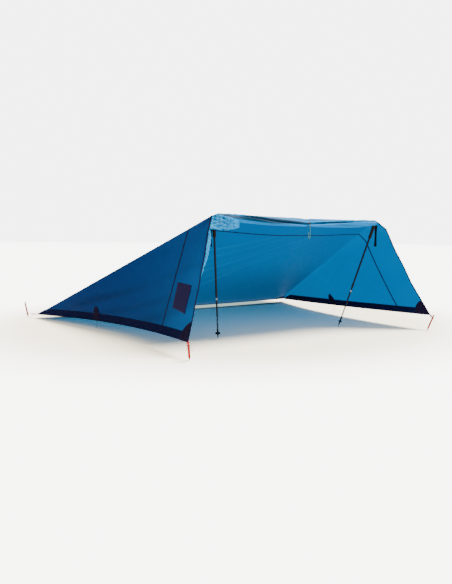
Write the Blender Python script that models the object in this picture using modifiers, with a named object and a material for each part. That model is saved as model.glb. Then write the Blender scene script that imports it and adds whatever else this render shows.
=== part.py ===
"""Tarp shelter pitched on two trekking poles, modelled piece by piece in metres, +Z up.

One rectangular sheet is folded over two pole tops, so it makes a sloping roof to the rear and a
triangular wing at each side.  Its four corners are tied to stakes.  The origin is on the ground,
in the middle of the footprint; the open side faces -Y.
"""
import math

import bmesh
import bpy
from mathutils import Matrix, Vector

# ---- overall pitch: half widths, heights and distances from the line of the pole tops ----
RIDGE_HEIGHT = 1.10          # cloth at the pole tops
RIDGE_HALF = 0.97            # half the distance between the pole tops
RIDGE_TO_MIDDLE = 1.013      # the ridge lies this far in front of the footprint's middle
RIDGE_SAG = 0.008
# left and right corners of the sheet: outward from the middle, away from the ridge, up
FRONT_CORNERS = {-1: (1.38, 0.335, 0.12), 1: (1.42, 0.365, 0.15)}
REAR_CORNERS = {-1: (1.785, 2.38, 0.04), 1: (1.70, 2.38, 0.04)}
SIDE_CUT_IN = 0.15           # how far the curved side hem bows inward at its middle
SIDE_LIFT = 0.012            # and how far it rises there
REAR_CUT_IN = 0.12           # how far the rear hem bows forward
REAR_DROOP = 0.050           # and how far its middle hangs below the line of its corners
FRONT_CUT_IN = {-1: -0.015, 1: 0.035}   # the same for the left and right front edges
ROOF_SAG = 0.025
SHOULDER_SHARE = 0.12        # part of the wing's front edge that wraps round the pole top
SHOULDER_BULGE = {-1: Vector((0.020, -0.022, 0.012)), 1: Vector((0.041, -0.030, 0.038))}
SHOULDER_LENGTH = 0.35       # share of the crease along which the shoulder fades out

# ---- cloth, tapes and the clearance between touching pieces ----
CLOTH = 0.0008
GAP = 0.0005
SEAM_WIDTH = 0.014
# from the front edge to the seam's middle, at the left hem, left crease, middle, right crease, right hem
SEAM_BACK = (0.50, 0.268, 0.375, 0.355, 0.35)
SIDE_HEM_WIDTH = 0.075
REAR_HEM_WIDTH = 0.030
BINDING_WIDTH = 0.012
PATCH_THICKNESS = 0.0012
PATCH_LIFT = 0.0018          # clearance under a patch, for the flat facets of the curved cloth
CORNER_PATCH = 0.16
MID_PATCH_HALF = 0.060
MID_PATCH_DEPTH = 0.145
MID_HEM_SHARE = {-1: 0.606, 1: 0.505}   # where along each side hem the tie-out patch sits
LABEL_WIDTH = 0.215
LABEL_HEIGHT = 0.265
LABEL_TILT = 0.70              # how the label turns against the cloth's lanes
LABEL_SHEAR = 0.038
LABEL_CENTRE = (0.655, 0.085)  # shares of the wing's depth and of the crease's length

# ---- rolled front flap ----
BROW_HALF = 0.90
BROW_LONG_END = 0.028
BROW_LONG_MIDDLE = 0.047
BROW_THICK = 0.013
BROW_FORWARD = 0.012
BROW_LEAN = math.radians(38)  # of the roll's section, forward from vertical
TIE_X = 0.03
TIE_RADIUS = 0.0015
TIE_HANG = 0.10
TOGGLE_RADIUS = 0.006
TOGGLE_LENGTH = 0.034

# ---- trekking poles, distances down from the pivot in the grip's round head ----
PIVOT_HALF = 0.95
PIVOT_DROP = 0.055           # below the cloth at the pole top
FOOT_HALF = 0.74
FOOT_BACK = 0.25
GRIP_RADIUS = 0.018
GRIP_HEAD_RADIUS = 0.019
GRIP_LENGTH = 0.135
UPPER_RADIUS = 0.0090
TUBE_WALL = 0.0008
MIDDLE_RADIUS = UPPER_RADIUS - TUBE_WALL - GAP   # each tube slides inside the one above
LOWER_RADIUS = MIDDLE_RADIUS - TUBE_WALL - GAP
UPPER_END = 0.66             # where the upper tube ends
MIDDLE_END = 0.87            # where the middle tube ends
MIDDLE_INSIDE = 0.28         # how far the middle tube reaches up into the upper one
LOWER_INSIDE = 0.34          # how far the lower tube reaches up into the middle one
EXPANDER_LENGTH = 0.030
COLLAR_LENGTH = 0.032
COLLAR_WALL = 0.0018
FERRULE_LENGTH = 0.085
FERRULE_SOCKET = 0.030
FERRULE_END_RADIUS = 0.0045
TIP_LENGTH = 0.016
TIP_RADIUS = 0.0030
BASKET_RADIUS = 0.025
BASKET_ABOVE_TIP = 0.070
BASKET_HUB = 0.014
STRAP_LENGTH = 0.21
STRAP_WIDTH = 0.020
STRAP_THICKNESS = 0.0020
STRAP_HALF = 0.010           # half the width of the strap's loop
STRAP_TOP = 0.004            # the strap's top above the pivot, below the pocket's mouth
STRAP_GAP = 0.001            # between the strap and the grip's head
STRAP_OUT = GRIP_HEAD_RADIUS + STRAP_GAP + STRAP_HALF   # from the grip's axis to the strap's middle
POCKET_WALL = 0.0045
POCKET_RADIUS = GRIP_HEAD_RADIUS + GAP + POCKET_WALL
POCKET_MOUTH = math.radians(55)

# ---- stakes: each tip's distance outward and away from its corner along Y, its lean along X and Y
# and the height at which the cord passes round it ----
STAKE_LENGTH = 0.175
STAKE_FLANGE = 0.010
STAKE_WEB = 0.0022
STAKE_PLACES = {
    "front_left": {"beyond": (0.023, 0.065), "lean": (-0.050, -0.068), "loop_height": 0.118},
    "front_right": {"beyond": (-0.091, 0.0365), "lean": (0.045, -0.042), "loop_height": 0.130},
    "rear_left": {"beyond": (0.057, 0.098), "lean": (-0.030, 0.015), "loop_height": 0.045},
    "rear_right": {"beyond": (0.142, 0.098), "lean": (0.030, 0.015), "loop_height": 0.045},
}

# ---- corner ties ----
CORD_RADIUS = 0.00125
CORD_SPACING = 0.007
LOOP_RADIUS = 0.0140
WEBBING_WIDTH = 0.012
WEBBING_THICKNESS = 0.0015
WEBBING_INNER = (0.024, 0.006)
BUCKLE_WIDTH = 0.020
BUCKLE_THICKNESS = 0.004
BUCKLE_BAR = 0.004
BUCKLE_SLOT = (0.006, 0.0145)
TAIL_LENGTH = 0.055
TIE_OUT_DROP = 0.068
TIE_OUT_SPREAD = 0.012

SIDES = {"left": -1, "right": 1}
TUBE_STEPS = 16

COLOURS = {
    "cloth": ((0.005, 0.19, 0.46), 0.55, 0.0),
    "brow": ((0.05, 0.42, 0.62), 0.5, 0.0),
    "hem": ((0.006, 0.016, 0.09), 0.6, 0.0),
    "black_webbing": ((0.012, 0.010, 0.016), 0.8, 0.0),
    "green_webbing": ((0.03, 0.12, 0.05), 0.8, 0.0),
    "label": ((0.035, 0.006, 0.05), 0.7, 0.0),
    "elastic": ((0.35, 0.50, 0.05), 0.7, 0.0),
    "guy_cord": ((0.35, 0.34, 0.32), 0.6, 0.0),
    "black_plastic": ((0.015, 0.015, 0.017), 0.5, 0.0),
    "grip_foam": ((0.09, 0.06, 0.045), 0.85, 0.0),
    "black_tube": ((0.010, 0.010, 0.012), 0.35, 0.6),
    "steel": ((0.50, 0.50, 0.51), 0.3, 1.0),
    "red_aluminium": ((0.42, 0.012, 0.012), 0.35, 0.7),
}


# ---- helpers ----
def clear_scene():
    for item in list(bpy.data.objects):
        bpy.data.objects.remove(item)


def material(name):
    found = bpy.data.materials.get(name)
    if found:
        return found
    colour, roughness, metallic = COLOURS[name]
    made = bpy.data.materials.new(name)
    made.use_nodes = True
    shader = made.node_tree.nodes["Principled BSDF"]
    shader.inputs["Base Color"].default_value = (*colour, 1.0)
    shader.inputs["Roughness"].default_value = roughness
    shader.inputs["Metallic"].default_value = metallic
    return made


def add_object(name, data, slot, collection, parent=None):
    item = bpy.data.objects.new(name, data)
    data.materials.append(material(slot))
    collection.objects.link(item)
    item.parent = parent
    return item


def ridge_frame(x, y, z):
    """A place given from the ridge's middle, as a place in the object's own frame."""
    return Vector((x, y - RIDGE_TO_MIDDLE, z))


def smooth_route(points, spacing):
    """Points every so often along a Catmull-Rom curve through the given points."""
    padded = [2 * points[0] - points[1]] + list(points) + [2 * points[-1] - points[-2]]
    route = []
    for start, a, b, end in zip(padded, padded[1:], padded[2:], padded[3:]):
        count = max(1, round((b - a).length / spacing))
        for step in range(count):
            t = step / count
            route.append(0.5 * (2 * a + (b - start) * t
                                + (2 * start - 5 * a + 4 * b - end) * t ** 2
                                + (3 * a - start - 3 * b + end) * t ** 3))
    route.append(points[-1])
    return route


def cord(name, points, radius, slot, collection):
    data = bpy.data.curves.new(name, "CURVE")
    data.dimensions = "3D"
    data.bevel_depth = radius
    data.bevel_resolution = 2
    data.use_fill_caps = True
    route = smooth_route(points, CORD_SPACING)
    spline = data.splines.new("POLY")
    spline.points.add(len(route) - 1)
    for target, place in zip(spline.points, route):
        target.co = (*place, 1.0)
    return add_object(name, data, slot, collection)


def turned(name, profile, slot, collection, parent=None, closed=False):
    """A profile of (radius, height) points, outer side first and top to bottom, turned about Z."""
    mesh = bpy.data.meshes.new(name)
    shape = bmesh.new()
    ring = [shape.verts.new((radius, 0.0, height)) for radius, height in profile]
    for a, b in zip(ring, ring[1:]):
        shape.edges.new((a, b))
    if closed:
        shape.edges.new((ring[-1], ring[0]))
    shape.to_mesh(mesh)
    shape.free()
    item = add_object(name, mesh, slot, collection, parent)
    screw = item.modifiers.new("turn", "SCREW")
    screw.steps = screw.render_steps = TUBE_STEPS
    screw.use_merge_vertices = True
    screw.merge_threshold = 0.00001
    return item


def tube(name, outer, inner, top, bottom, slot, collection, parent=None):
    profile = [(outer, top), (outer, bottom), (inner, bottom), (inner, top)]
    return turned(name, profile, slot, collection, parent, closed=True)


def flat_outline(name, loops, thickness, slot, collection):
    """A flat plate in its own XY plane; the first loop is its edge and the others are holes."""
    data = bpy.data.curves.new(name, "CURVE")
    data.dimensions = "2D"
    data.fill_mode = "BOTH"
    data.extrude = thickness / 2
    for loop in loops:
        spline = data.splines.new("POLY")
        spline.points.add(len(loop) - 1)
        for target, place in zip(spline.points, loop):
            target.co = (*place, 0.0, 1.0)
        spline.use_cyclic_u = True
    return add_object(name, data, slot, collection)


def rectangle(x_low, x_high, half_width):
    return [(x_low, -half_width), (x_high, -half_width), (x_high, half_width), (x_low, half_width)]


def stadium(x_low, x_high, half_height, steps=6):
    """A slot outline along X with round ends."""
    points = []
    for centre, start in ((x_high - half_height, -90), (x_low + half_height, 90)):
        for step in range(steps + 1):
            angle = math.radians(start + 180 * step / steps)
            points.append((centre + half_height * math.cos(angle), half_height * math.sin(angle)))
    return points


# ---- the sheet: where a point of the cloth lies ----
def corners(side):
    top = ridge_frame(side * RIDGE_HALF, 0.0, RIDGE_HEIGHT)
    outward, forward, up = FRONT_CORNERS[int(side)]
    front = ridge_frame(side * outward, -forward, up)
    outward, back, up = REAR_CORNERS[int(side)]
    rear = ridge_frame(side * outward, back, up)
    return top, front, rear


CREASE_LENGTH = (corners(1)[2] - corners(1)[0]).length


def roof_point(across, along):
    """across runs from -1 to 1 between the creases, along from 0 at the ridge to 1 at the rear."""
    left_top, _, left_rear = corners(-1)
    right_top, _, right_rear = corners(1)
    share = (across + 1) / 2
    point = left_top.lerp(left_rear, along).lerp(right_top.lerp(right_rear, along), share)
    sag = ROOF_SAG * math.sin(math.pi * along) + RIDGE_SAG * (1 - along) + REAR_DROOP * along ** 2
    hang = (1 - across ** 2) * sag
    return point - Vector((0, 0, hang))


def hem_point(side, along):
    _, front, rear = corners(side)
    bow = Vector((-side * SIDE_CUT_IN, 0, SIDE_LIFT))
    return front.lerp(rear, along) + bow * 4 * along * (1 - along)


def wing_point(side, down, along):
    """down runs from 0 at the crease to 1 at the side hem."""
    top, _, rear = corners(side)
    cut = FRONT_CUT_IN[int(side)] / CREASE_LENGTH * 4 * down * (1 - down)
    along = cut + along * (1 - cut)
    point = top.lerp(rear, along).lerp(hem_point(side, along), down)
    if down < SHOULDER_SHARE:
        rise = down / SHOULDER_SHARE
    else:
        rise = (1 - down) / (1 - SHOULDER_SHARE)
    fade = max(0.0, 1 - along / SHOULDER_LENGTH)
    out, forward, up = SHOULDER_BULGE[int(side)]
    return point + Vector((side * out, forward, up)) * rise * fade


def cloth_point(lane, along):
    """lane runs from -2 at the left hem over the creases at -1 and 1 to 2 at the right hem."""
    if abs(lane) <= 1:
        return roof_point(lane, along)
    return wing_point(math.copysign(1, lane), abs(lane) - 1, along)


def outward_normal(lane, along):
    step = 0.004
    a = cloth_point(lane + step, along) - cloth_point(lane - step, along)
    b = cloth_point(lane, along + step) - cloth_point(lane, along - step)
    normal = a.cross(b).normalized()
    return normal if normal.z > 0 else -normal


def hem_inner(side, along):
    """How far down the wing the side hem starts, at least a third of the wing near its point."""
    top, _, rear = corners(side)
    depth = (hem_point(side, along) - top.lerp(rear, along)).length
    return max(1 - SIDE_HEM_WIDTH / depth, 0.3)


def rear_edge(lane):
    across = min(abs(lane), 1.0)
    return 1 - REAR_CUT_IN * (1 - across ** 2) / CREASE_LENGTH


def share(length):
    """A length along the crease as a share of it."""
    return length / CREASE_LENGTH


def sheet(name, rows, slot, collection, thickness=CLOTH):
    """A thin solid round a grid of points; rows is a list of equally long lists of points."""
    mesh = bpy.data.meshes.new(name)
    shape = bmesh.new()
    grid = [[shape.verts.new(point) for point in row] for row in rows]
    for row, next_row in zip(grid, grid[1:]):
        for a, b, c, d in zip(row, row[1:], next_row[1:], next_row):
            shape.faces.new((a, b, c, d))
    shape.to_mesh(mesh)
    shape.free()
    item = add_object(name, mesh, slot, collection)
    solid = item.modifiers.new("thickness", "SOLIDIFY")
    solid.thickness = thickness
    solid.offset = 0.0
    return item


def steps(start, end, count):
    return [start + (end - start) * step / count for step in range(count + 1)]


# ---- cloth pieces ----
WING_START = share(BINDING_WIDTH + GAP)
WING_END = 1 - share(REAR_HEM_WIDTH + GAP)
STRIP_ROWS = 3
FLY_ROWS = 12
WING_LANES = 8
ROOF_LANES = 12


def seam_place(lane, beyond=0.0):
    """Where the seam's middle lies along the crease direction, or beyond metres behind it."""
    lane = max(-2.0, min(2.0, lane))
    first = min(int(lane + 2), 3)
    back = SEAM_BACK[first] + (SEAM_BACK[first + 1] - SEAM_BACK[first]) * (lane + 2 - first)
    return share(back + beyond)


def fly_place(lane, along):
    """A point of the cloth inside the side hems; lane 2 is where a side hem starts."""
    if abs(lane) <= 1:
        return roof_point(lane, along)
    side = math.copysign(1, lane)
    top, _, rear = corners(side)
    depth = (hem_point(side, along) - top.lerp(rear, along)).length
    return wing_point(side, (abs(lane) - 1) * (hem_inner(side, along) - GAP / depth), along)


def make_fly(collection):
    """The main body behind the seam, the strip in front of it, and the seam between them."""
    wing = steps(1, 2, WING_LANES)
    lanes = [-lane for lane in reversed(wing)] + steps(-1, 1, ROOF_LANES)[1:-1] + wing

    def band(name, starts, ends, count, slot):
        rows = []
        for t in steps(0, 1, count):
            rows.append([fly_place(lane, starts(lane) + (ends(lane) - starts(lane)) * t)
                         for lane in lanes])
        sheet(name, rows, slot, collection)

    half = SEAM_WIDTH / 2
    band("front_strip", lambda lane: WING_START if abs(lane) > 1 else 0.0,
         lambda lane: seam_place(lane, -half - GAP), STRIP_ROWS, "cloth")
    band("front_seam", lambda lane: seam_place(lane, -half), lambda lane: seam_place(lane, half), 1,
         "black_webbing")
    band("main_fly", lambda lane: seam_place(lane, half + GAP),
         lambda lane: rear_edge(lane) - share(REAR_HEM_WIDTH + GAP), FLY_ROWS, "cloth")


def make_hems(collection):
    across = steps(-1, 1, ROOF_LANES)
    rows = [[roof_point(lane, rear_edge(lane) - share(depth)) for lane in across]
            for depth in (REAR_HEM_WIDTH, 0.0)]
    sheet("rear_hem", rows, "hem", collection)
    half = SEAM_WIDTH / 2
    for word, side in SIDES.items():
        alongs = (steps(WING_START, seam_place(2 * side, -half - GAP), STRIP_ROWS)
                  + [seam_place(2 * side, -half), seam_place(2 * side, half)]
                  + steps(seam_place(2 * side, half + GAP), WING_END, FLY_ROWS))
        rows = [[wing_point(side, down, along) for down in (hem_inner(side, along), 1.0)]
                for along in alongs]
        sheet("side_hem_" + word, rows, "hem", collection)
        rows = [[fly_place(side * lane, along) for lane in steps(1, 2, WING_LANES)[1:]]
                + [wing_point(side, 1.0, along)] for along in (0.0, share(BINDING_WIDTH))]
        sheet("front_binding_" + word, rows, "black_webbing", collection)


def patch(name, lanes, starts, ends, count, slot, collection, tilt=0.0, middle=0.0):
    """A piece laid on the outside of the cloth between two limits for each lane."""
    lift = CLOTH / 2 + PATCH_LIFT + PATCH_THICKNESS / 2
    rows = []
    for t in steps(0, 1, count):
        row = []
        for lane in lanes:
            along = starts(lane) + (ends(lane) - starts(lane)) * t
            turned = lane + tilt * (along - middle)
            row.append(cloth_point(turned, along) + outward_normal(turned, along) * lift)
        rows.append(row)
    sheet(name, rows, slot, collection, PATCH_THICKNESS)


def make_patches(collection):
    for word, side in SIDES.items():
        front_depth = (corners(side)[0] - corners(side)[1]).length
        lanes = [side * (1 + down) for down in steps(1 - CORNER_PATCH / front_depth, 0.992, 4)]
        slope = share(CORNER_PATCH) / (lanes[-1] - lanes[0])
        patch("corner_patch_front_" + word, lanes, lambda lane: share(0.003),
              lambda lane: share(0.030) + (lane - lanes[0]) * slope * 0.8, 3, "black_webbing", collection)
        inner = 1 - CORNER_PATCH / REAR_CORNERS[side][0]
        lanes = [side * across for across in steps(inner, 0.990, 4)]
        patch("corner_patch_rear_" + word, lanes,
              lambda lane: 1 - share(CORNER_PATCH) * (0.25 + 0.75 * (abs(lane) - inner) / (0.99 - inner)),
              lambda lane: rear_edge(lane) - share(0.002), 3, "black_webbing", collection)
        make_mid_patch(word, side, collection)
    down, along = LABEL_CENTRE
    wing_depth = (corners(-1)[0] - corners(-1)[1]).length
    half_down, half_along = LABEL_HEIGHT / wing_depth / 2, share(LABEL_WIDTH / 2)
    lanes = [-1 - value for value in steps(down - half_down, down + half_down, 4)]
    patch("label", lanes, lambda lane: along - half_along - LABEL_SHEAR * (lane + 1 + down),
          lambda lane: along + half_along - LABEL_SHEAR * (lane + 1 + down), 3, "label", collection,
          LABEL_TILT, along)


def make_mid_patch(word, side, collection):
    """A half-moon patch on the side hem."""
    top, _, rear = corners(side)
    middle = MID_HEM_SHARE[side]
    depth = (hem_point(side, middle) - top.lerp(rear, middle)).length
    reach = MID_PATCH_DEPTH / depth
    downs = [1 - reach * math.cos(math.radians(angle)) for angle in (4, 25, 45, 65, 84)]

    def half(lane):
        height = min(1.0, (2 - abs(lane)) / reach)
        return share(MID_PATCH_HALF) * max(0.12, math.sqrt(1 - height ** 2))

    patch("mid_hem_patch_" + word, [side * (1 + down) for down in downs],
          lambda lane: middle - half(lane), lambda lane: middle + half(lane), 4,
          "black_webbing", collection)


def brow_section(x):
    """Centre, long half axis and its length for the rolled flap at one place along the ridge."""
    share_out = x / BROW_HALF
    long_half = BROW_LONG_END + (BROW_LONG_MIDDLE - BROW_LONG_END) * (1 - share_out ** 4)
    downward = Vector((0, -math.sin(BROW_LEAN), -math.cos(BROW_LEAN)))
    hang = RIDGE_SAG * (1 - (x / RIDGE_HALF) ** 2)
    top = ridge_frame(x, -BROW_FORWARD, RIDGE_HEIGHT - 0.006 - hang)
    return top + downward * long_half, downward, long_half


def brow_ring_point(x, angle, grow=0.0):
    centre, downward, long_half = brow_section(x)
    forward = Vector((0, -downward.z, downward.y)) * -1
    return (centre + downward * (long_half + grow) * math.cos(angle)
            + forward * (BROW_THICK + grow) * math.sin(angle))


def make_brow(collection):
    """The front flap, rolled up under the ridge and swelling towards its middle."""
    mesh = bpy.data.meshes.new("rolled_brow")
    shape = bmesh.new()
    sides = 14
    rings = []
    for x in steps(-BROW_HALF, BROW_HALF, 18):
        rings.append([shape.verts.new(brow_ring_point(x, math.tau * k / sides)) for k in range(sides)])
    for ring, after in zip(rings, rings[1:]):
        for k in range(sides):
            shape.faces.new((ring[k], ring[(k + 1) % sides], after[(k + 1) % sides], after[k]))
    shape.faces.new(rings[0])
    shape.faces.new(rings[-1])
    bmesh.ops.recalc_face_normals(shape, faces=shape.faces)
    shape.to_mesh(mesh)
    shape.free()
    add_object("rolled_brow", mesh, "brow", collection)


def make_brow_tie(collection):
    """An elastic loop round the roll, ending in a free loop below it, and its toggle."""
    clear = TIE_RADIUS + 0.002
    start, turns = math.radians(-20), math.radians(-330)
    points = []
    for step in range(17):
        angle = start + turns * step / 16
        points.append(brow_ring_point(TIE_X, angle, clear) + Vector((0.010 * step / 16, 0, 0)))
    last = points[-1]
    for x, drop in ((0.011, 0.030), (0.012, 0.070), (0.009, 0.094), (0.002, TIE_HANG),
                    (-0.005, 0.094), (-0.008, 0.070), (-0.006, 0.040)):
        points.append(last + Vector((x - 0.010, -0.002, -drop)))
    cord("brow_tie", points, TIE_RADIUS, "elastic", collection)
    data = bpy.data.meshes.new("brow_toggle")
    shape = bmesh.new()
    bmesh.ops.create_cone(shape, cap_ends=True, segments=16, radius1=TOGGLE_RADIUS,
                          radius2=TOGGLE_RADIUS, depth=TOGGLE_LENGTH)
    shape.to_mesh(data)
    shape.free()
    toggle = add_object("brow_toggle", data, "black_plastic", collection)
    toggle.location = brow_ring_point(TIE_X, math.radians(70), clear + TIE_RADIUS + TOGGLE_RADIUS + GAP)
    toggle.rotation_euler = (0, math.radians(90), 0)


# ---- poles ----
def pole_foot(side):
    return ridge_frame(side * FOOT_HALF, FOOT_BACK, 0.0)


def pole_pivot(side):
    return ridge_frame(side * PIVOT_HALF, 0.0, RIDGE_HEIGHT - PIVOT_DROP)


def make_pole(word, side, collection):
    pivot = pole_pivot(side)
    direction = pole_foot(side) - pivot
    tilt = direction.angle(Vector((0, 0, -1)))
    length = direction.length - TIP_RADIUS * math.sin(tilt)
    frame = bpy.data.objects.new("pole_frame_" + word, None)
    frame.location = pivot
    frame.rotation_euler = Vector((0, 0, -1)).rotation_difference(direction).to_euler()
    collection.objects.link(frame)

    make_grip(word, collection, frame)
    make_tubes(word, collection, frame, length)
    make_strap(word, side, collection)
    make_pocket(word, side, collection)


def make_grip(word, collection, frame):
    head = []
    for angle in steps(0, 80, 6):
        turn = math.radians(angle)
        head.append((GRIP_HEAD_RADIUS * math.sin(turn), GRIP_HEAD_RADIUS * math.cos(turn)))
    head[0] = (0.0, GRIP_HEAD_RADIUS)
    socket = UPPER_RADIUS + GAP
    body = [(GRIP_RADIUS, -0.010), (0.0165, -0.022), (0.0150, -0.045), (0.0155, -0.080),
            (0.0148, -0.105), (0.0162, -0.118), (0.0150, -0.130), (0.0125, -GRIP_LENGTH),
            (socket, -GRIP_LENGTH), (socket, -0.020), (0.0, -0.020)]
    turned("grip_" + word, head + body, "grip_foam", collection, frame)


def make_tubes(word, collection, frame, length):
    upper_bore = UPPER_RADIUS - TUBE_WALL
    middle_bore = MIDDLE_RADIUS - TUBE_WALL
    tube("upper_shaft_" + word, UPPER_RADIUS, upper_bore, -0.0205, -UPPER_END, "black_tube",
         collection, frame)
    collar = UPPER_RADIUS + GAP
    tube("upper_collar_" + word, collar + COLLAR_WALL, collar, -UPPER_END + COLLAR_LENGTH, -UPPER_END,
         "black_plastic", collection, frame)
    make_inner_tube("middle_shaft_", "middle_expander_", word, MIDDLE_RADIUS, upper_bore,
                    -UPPER_END + MIDDLE_INSIDE, -MIDDLE_END, collection, frame)
    lower_end = length - FERRULE_LENGTH - TIP_LENGTH + FERRULE_SOCKET
    make_inner_tube("lower_shaft_", "lower_expander_", word, LOWER_RADIUS, middle_bore,
                    -MIDDLE_END + LOWER_INSIDE, -lower_end, collection, frame)
    make_point(word, length, lower_end, collection, frame)


def make_inner_tube(tube_name, plug_name, word, radius, bore, top, bottom, collection, frame):
    """A sliding tube with the expanding plug at its top that grips the outer tube."""
    tube(tube_name + word, radius, radius - TUBE_WALL, top, bottom, "black_tube", collection, frame)
    plug = bore - 0.0003
    low = top + 0.0003
    turned(plug_name + word, [(0.0, low + EXPANDER_LENGTH), (plug * 0.7, low + EXPANDER_LENGTH),
                              (plug, low + EXPANDER_LENGTH * 0.7), (plug, low), (0.0, low)],
           "black_plastic", collection, frame)


def make_point(word, length, lower_end, collection, frame):
    """Ferrule on the lower tube, basket on the ferrule and the hard tip in its end."""
    top = -length + TIP_LENGTH + FERRULE_LENGTH
    bottom = -length + TIP_LENGTH
    outer = LOWER_RADIUS + GAP + 0.0014
    socket = LOWER_RADIUS + GAP
    hub_top = -length + BASKET_ABOVE_TIP
    hub_bottom = hub_top - BASKET_HUB
    turned("ferrule_" + word,
           [(socket, top), (outer, top), (outer, hub_bottom - 0.002), (FERRULE_END_RADIUS, bottom),
            (0.0, bottom), (0.0, -lower_end - GAP), (socket, -lower_end - GAP)],
           "black_plastic", collection, frame, closed=True)
    turned("carbide_tip_" + word,
           [(0.0, bottom - 0.0003), (TIP_RADIUS, bottom - 0.0003), (TIP_RADIUS, -length),
            (0.0, -length)], "steel", collection, frame)
    hole = outer + 0.0004
    turned("basket_" + word,
           [(hole + 0.0025, hub_top), (hole + 0.0030, hub_bottom + 0.005),
            (BASKET_RADIUS, hub_bottom + 0.0032), (BASKET_RADIUS, hub_bottom), (hole, hub_bottom),
            (hole, hub_top)],
           "black_plastic", collection, frame, closed=True)


def make_strap(word, side, collection):
    """A webbing loop hanging straight down beside the grip."""
    outer = stadium(-STRAP_LENGTH, STRAP_TOP, STRAP_HALF)
    half_inner = STRAP_HALF - STRAP_THICKNESS
    inner = stadium(-STRAP_LENGTH + STRAP_THICKNESS, STRAP_TOP - STRAP_THICKNESS, half_inner)
    strap = flat_outline("wrist_strap_" + word, [outer, inner], STRAP_WIDTH, "black_webbing", collection)
    strap.location = pole_pivot(side) + Vector((side * STRAP_OUT, 0, 0))
    strap.rotation_euler = Matrix(((0, 1, 0), (0, 0, 1), (1, 0, 0))).to_euler()


def make_pocket(word, side, collection):
    """The cup under the cloth that the grip's round head turns in."""
    inner = GRIP_HEAD_RADIUS + GAP
    roof_slope = (RIDGE_HEIGHT - REAR_CORNERS[side][2]) / REAR_CORNERS[side][1]
    top = PIVOT_DROP - POCKET_RADIUS * roof_slope - CLOTH - 0.002
    profile = [(0.0, top), (POCKET_RADIUS * 0.8, top), (POCKET_RADIUS, top - 0.008),
               (POCKET_RADIUS, inner * math.cos(POCKET_MOUTH))]
    for angle in steps(math.degrees(POCKET_MOUTH), 0, 5):
        turn = math.radians(angle)
        profile.append((inner * math.sin(turn), inner * math.cos(turn)))
    profile[-1] = (0.0, inner)
    pocket = turned("pole_pocket_" + word, profile, "black_webbing", collection)
    pocket.location = pole_pivot(side)


# ---- stakes and corner ties ----
def stake_axis(corner):
    """Tip and unit direction of a stake; it stands on its tip's lowest point."""
    place = STAKE_PLACES[corner]
    outward, away = place["beyond"]
    lean_x, lean_y = place["lean"]
    flat = math.hypot(lean_x, lean_y)
    direction = Vector((lean_x, lean_y, math.sqrt(STAKE_LENGTH ** 2 - flat ** 2))).normalized()
    side = SIDES[corner.split("_")[1]]
    _, front, rear = corners(side)
    if corner.startswith("front"):
        tip = front + Vector((side * outward, -away, 0))
    else:
        tip = rear + Vector((side * outward, away, 0))
    tip.z = STAKE_FLANGE * 0.15 * flat / STAKE_LENGTH
    return tip, direction


def stake_outline(size, first_flange):
    points = []
    for flange in range(3):
        angle = first_flange + math.tau * flange / 3
        out = Vector((math.cos(angle), math.sin(angle)))
        aside = Vector((-out.y, out.x)) * STAKE_WEB / 2
        valley = angle + math.tau / 6
        points.append(out * STAKE_FLANGE * size - aside * min(1, size * 2))
        points.append(out * STAKE_FLANGE * size + aside * min(1, size * 2))
        reach = STAKE_WEB / math.sqrt(3) * min(1, size * 2)
        points.append(Vector((math.cos(valley), math.sin(valley))) * reach)
    return points


def make_stake(corner, collection):
    """A Y-section stake: pointed foot, straight flanges, a notched neck and a flat head."""
    levels = [(0.0, 0.15), (0.030, 1.0), (0.150, 1.0), (0.153, 0.62), (0.159, 0.62), (0.162, 1.0),
              (STAKE_LENGTH, 1.0)]
    mesh = bpy.data.meshes.new("stake_" + corner)
    shape = bmesh.new()
    first_flange = 0.0 if corner.endswith("right") else math.pi
    rings = [[shape.verts.new((*point, height)) for point in stake_outline(size, first_flange)]
             for height, size in levels]
    count = len(rings[0])
    for ring, above in zip(rings, rings[1:]):
        for k in range(count):
            shape.faces.new((ring[k], ring[(k + 1) % count], above[(k + 1) % count], above[k]))
    shape.faces.new(list(reversed(rings[0])))
    shape.faces.new(rings[-1])
    shape.to_mesh(mesh)
    shape.free()
    stake = add_object("stake_" + corner, mesh, "red_aluminium", collection)
    tip, direction = stake_axis(corner)
    stake.location = tip
    stake.rotation_euler = Vector((0, 0, 1)).rotation_difference(direction).to_euler()


def tie_frame(corner):
    """Where a corner's tie starts, its pull direction, sideways and upward, and its length."""
    side = SIDES[corner.split("_")[1]]
    _, front, rear = corners(side)
    start = front if corner.startswith("front") else rear
    tip, direction = stake_axis(corner)
    height = STAKE_PLACES[corner]["loop_height"]
    loop = tip + direction * (height / direction.z)
    pull = (loop - start).normalized()
    sideways = Vector((0, 0, 1)).cross(pull).normalized()
    return start, pull, sideways, pull.cross(sideways), (loop - start).length


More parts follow.
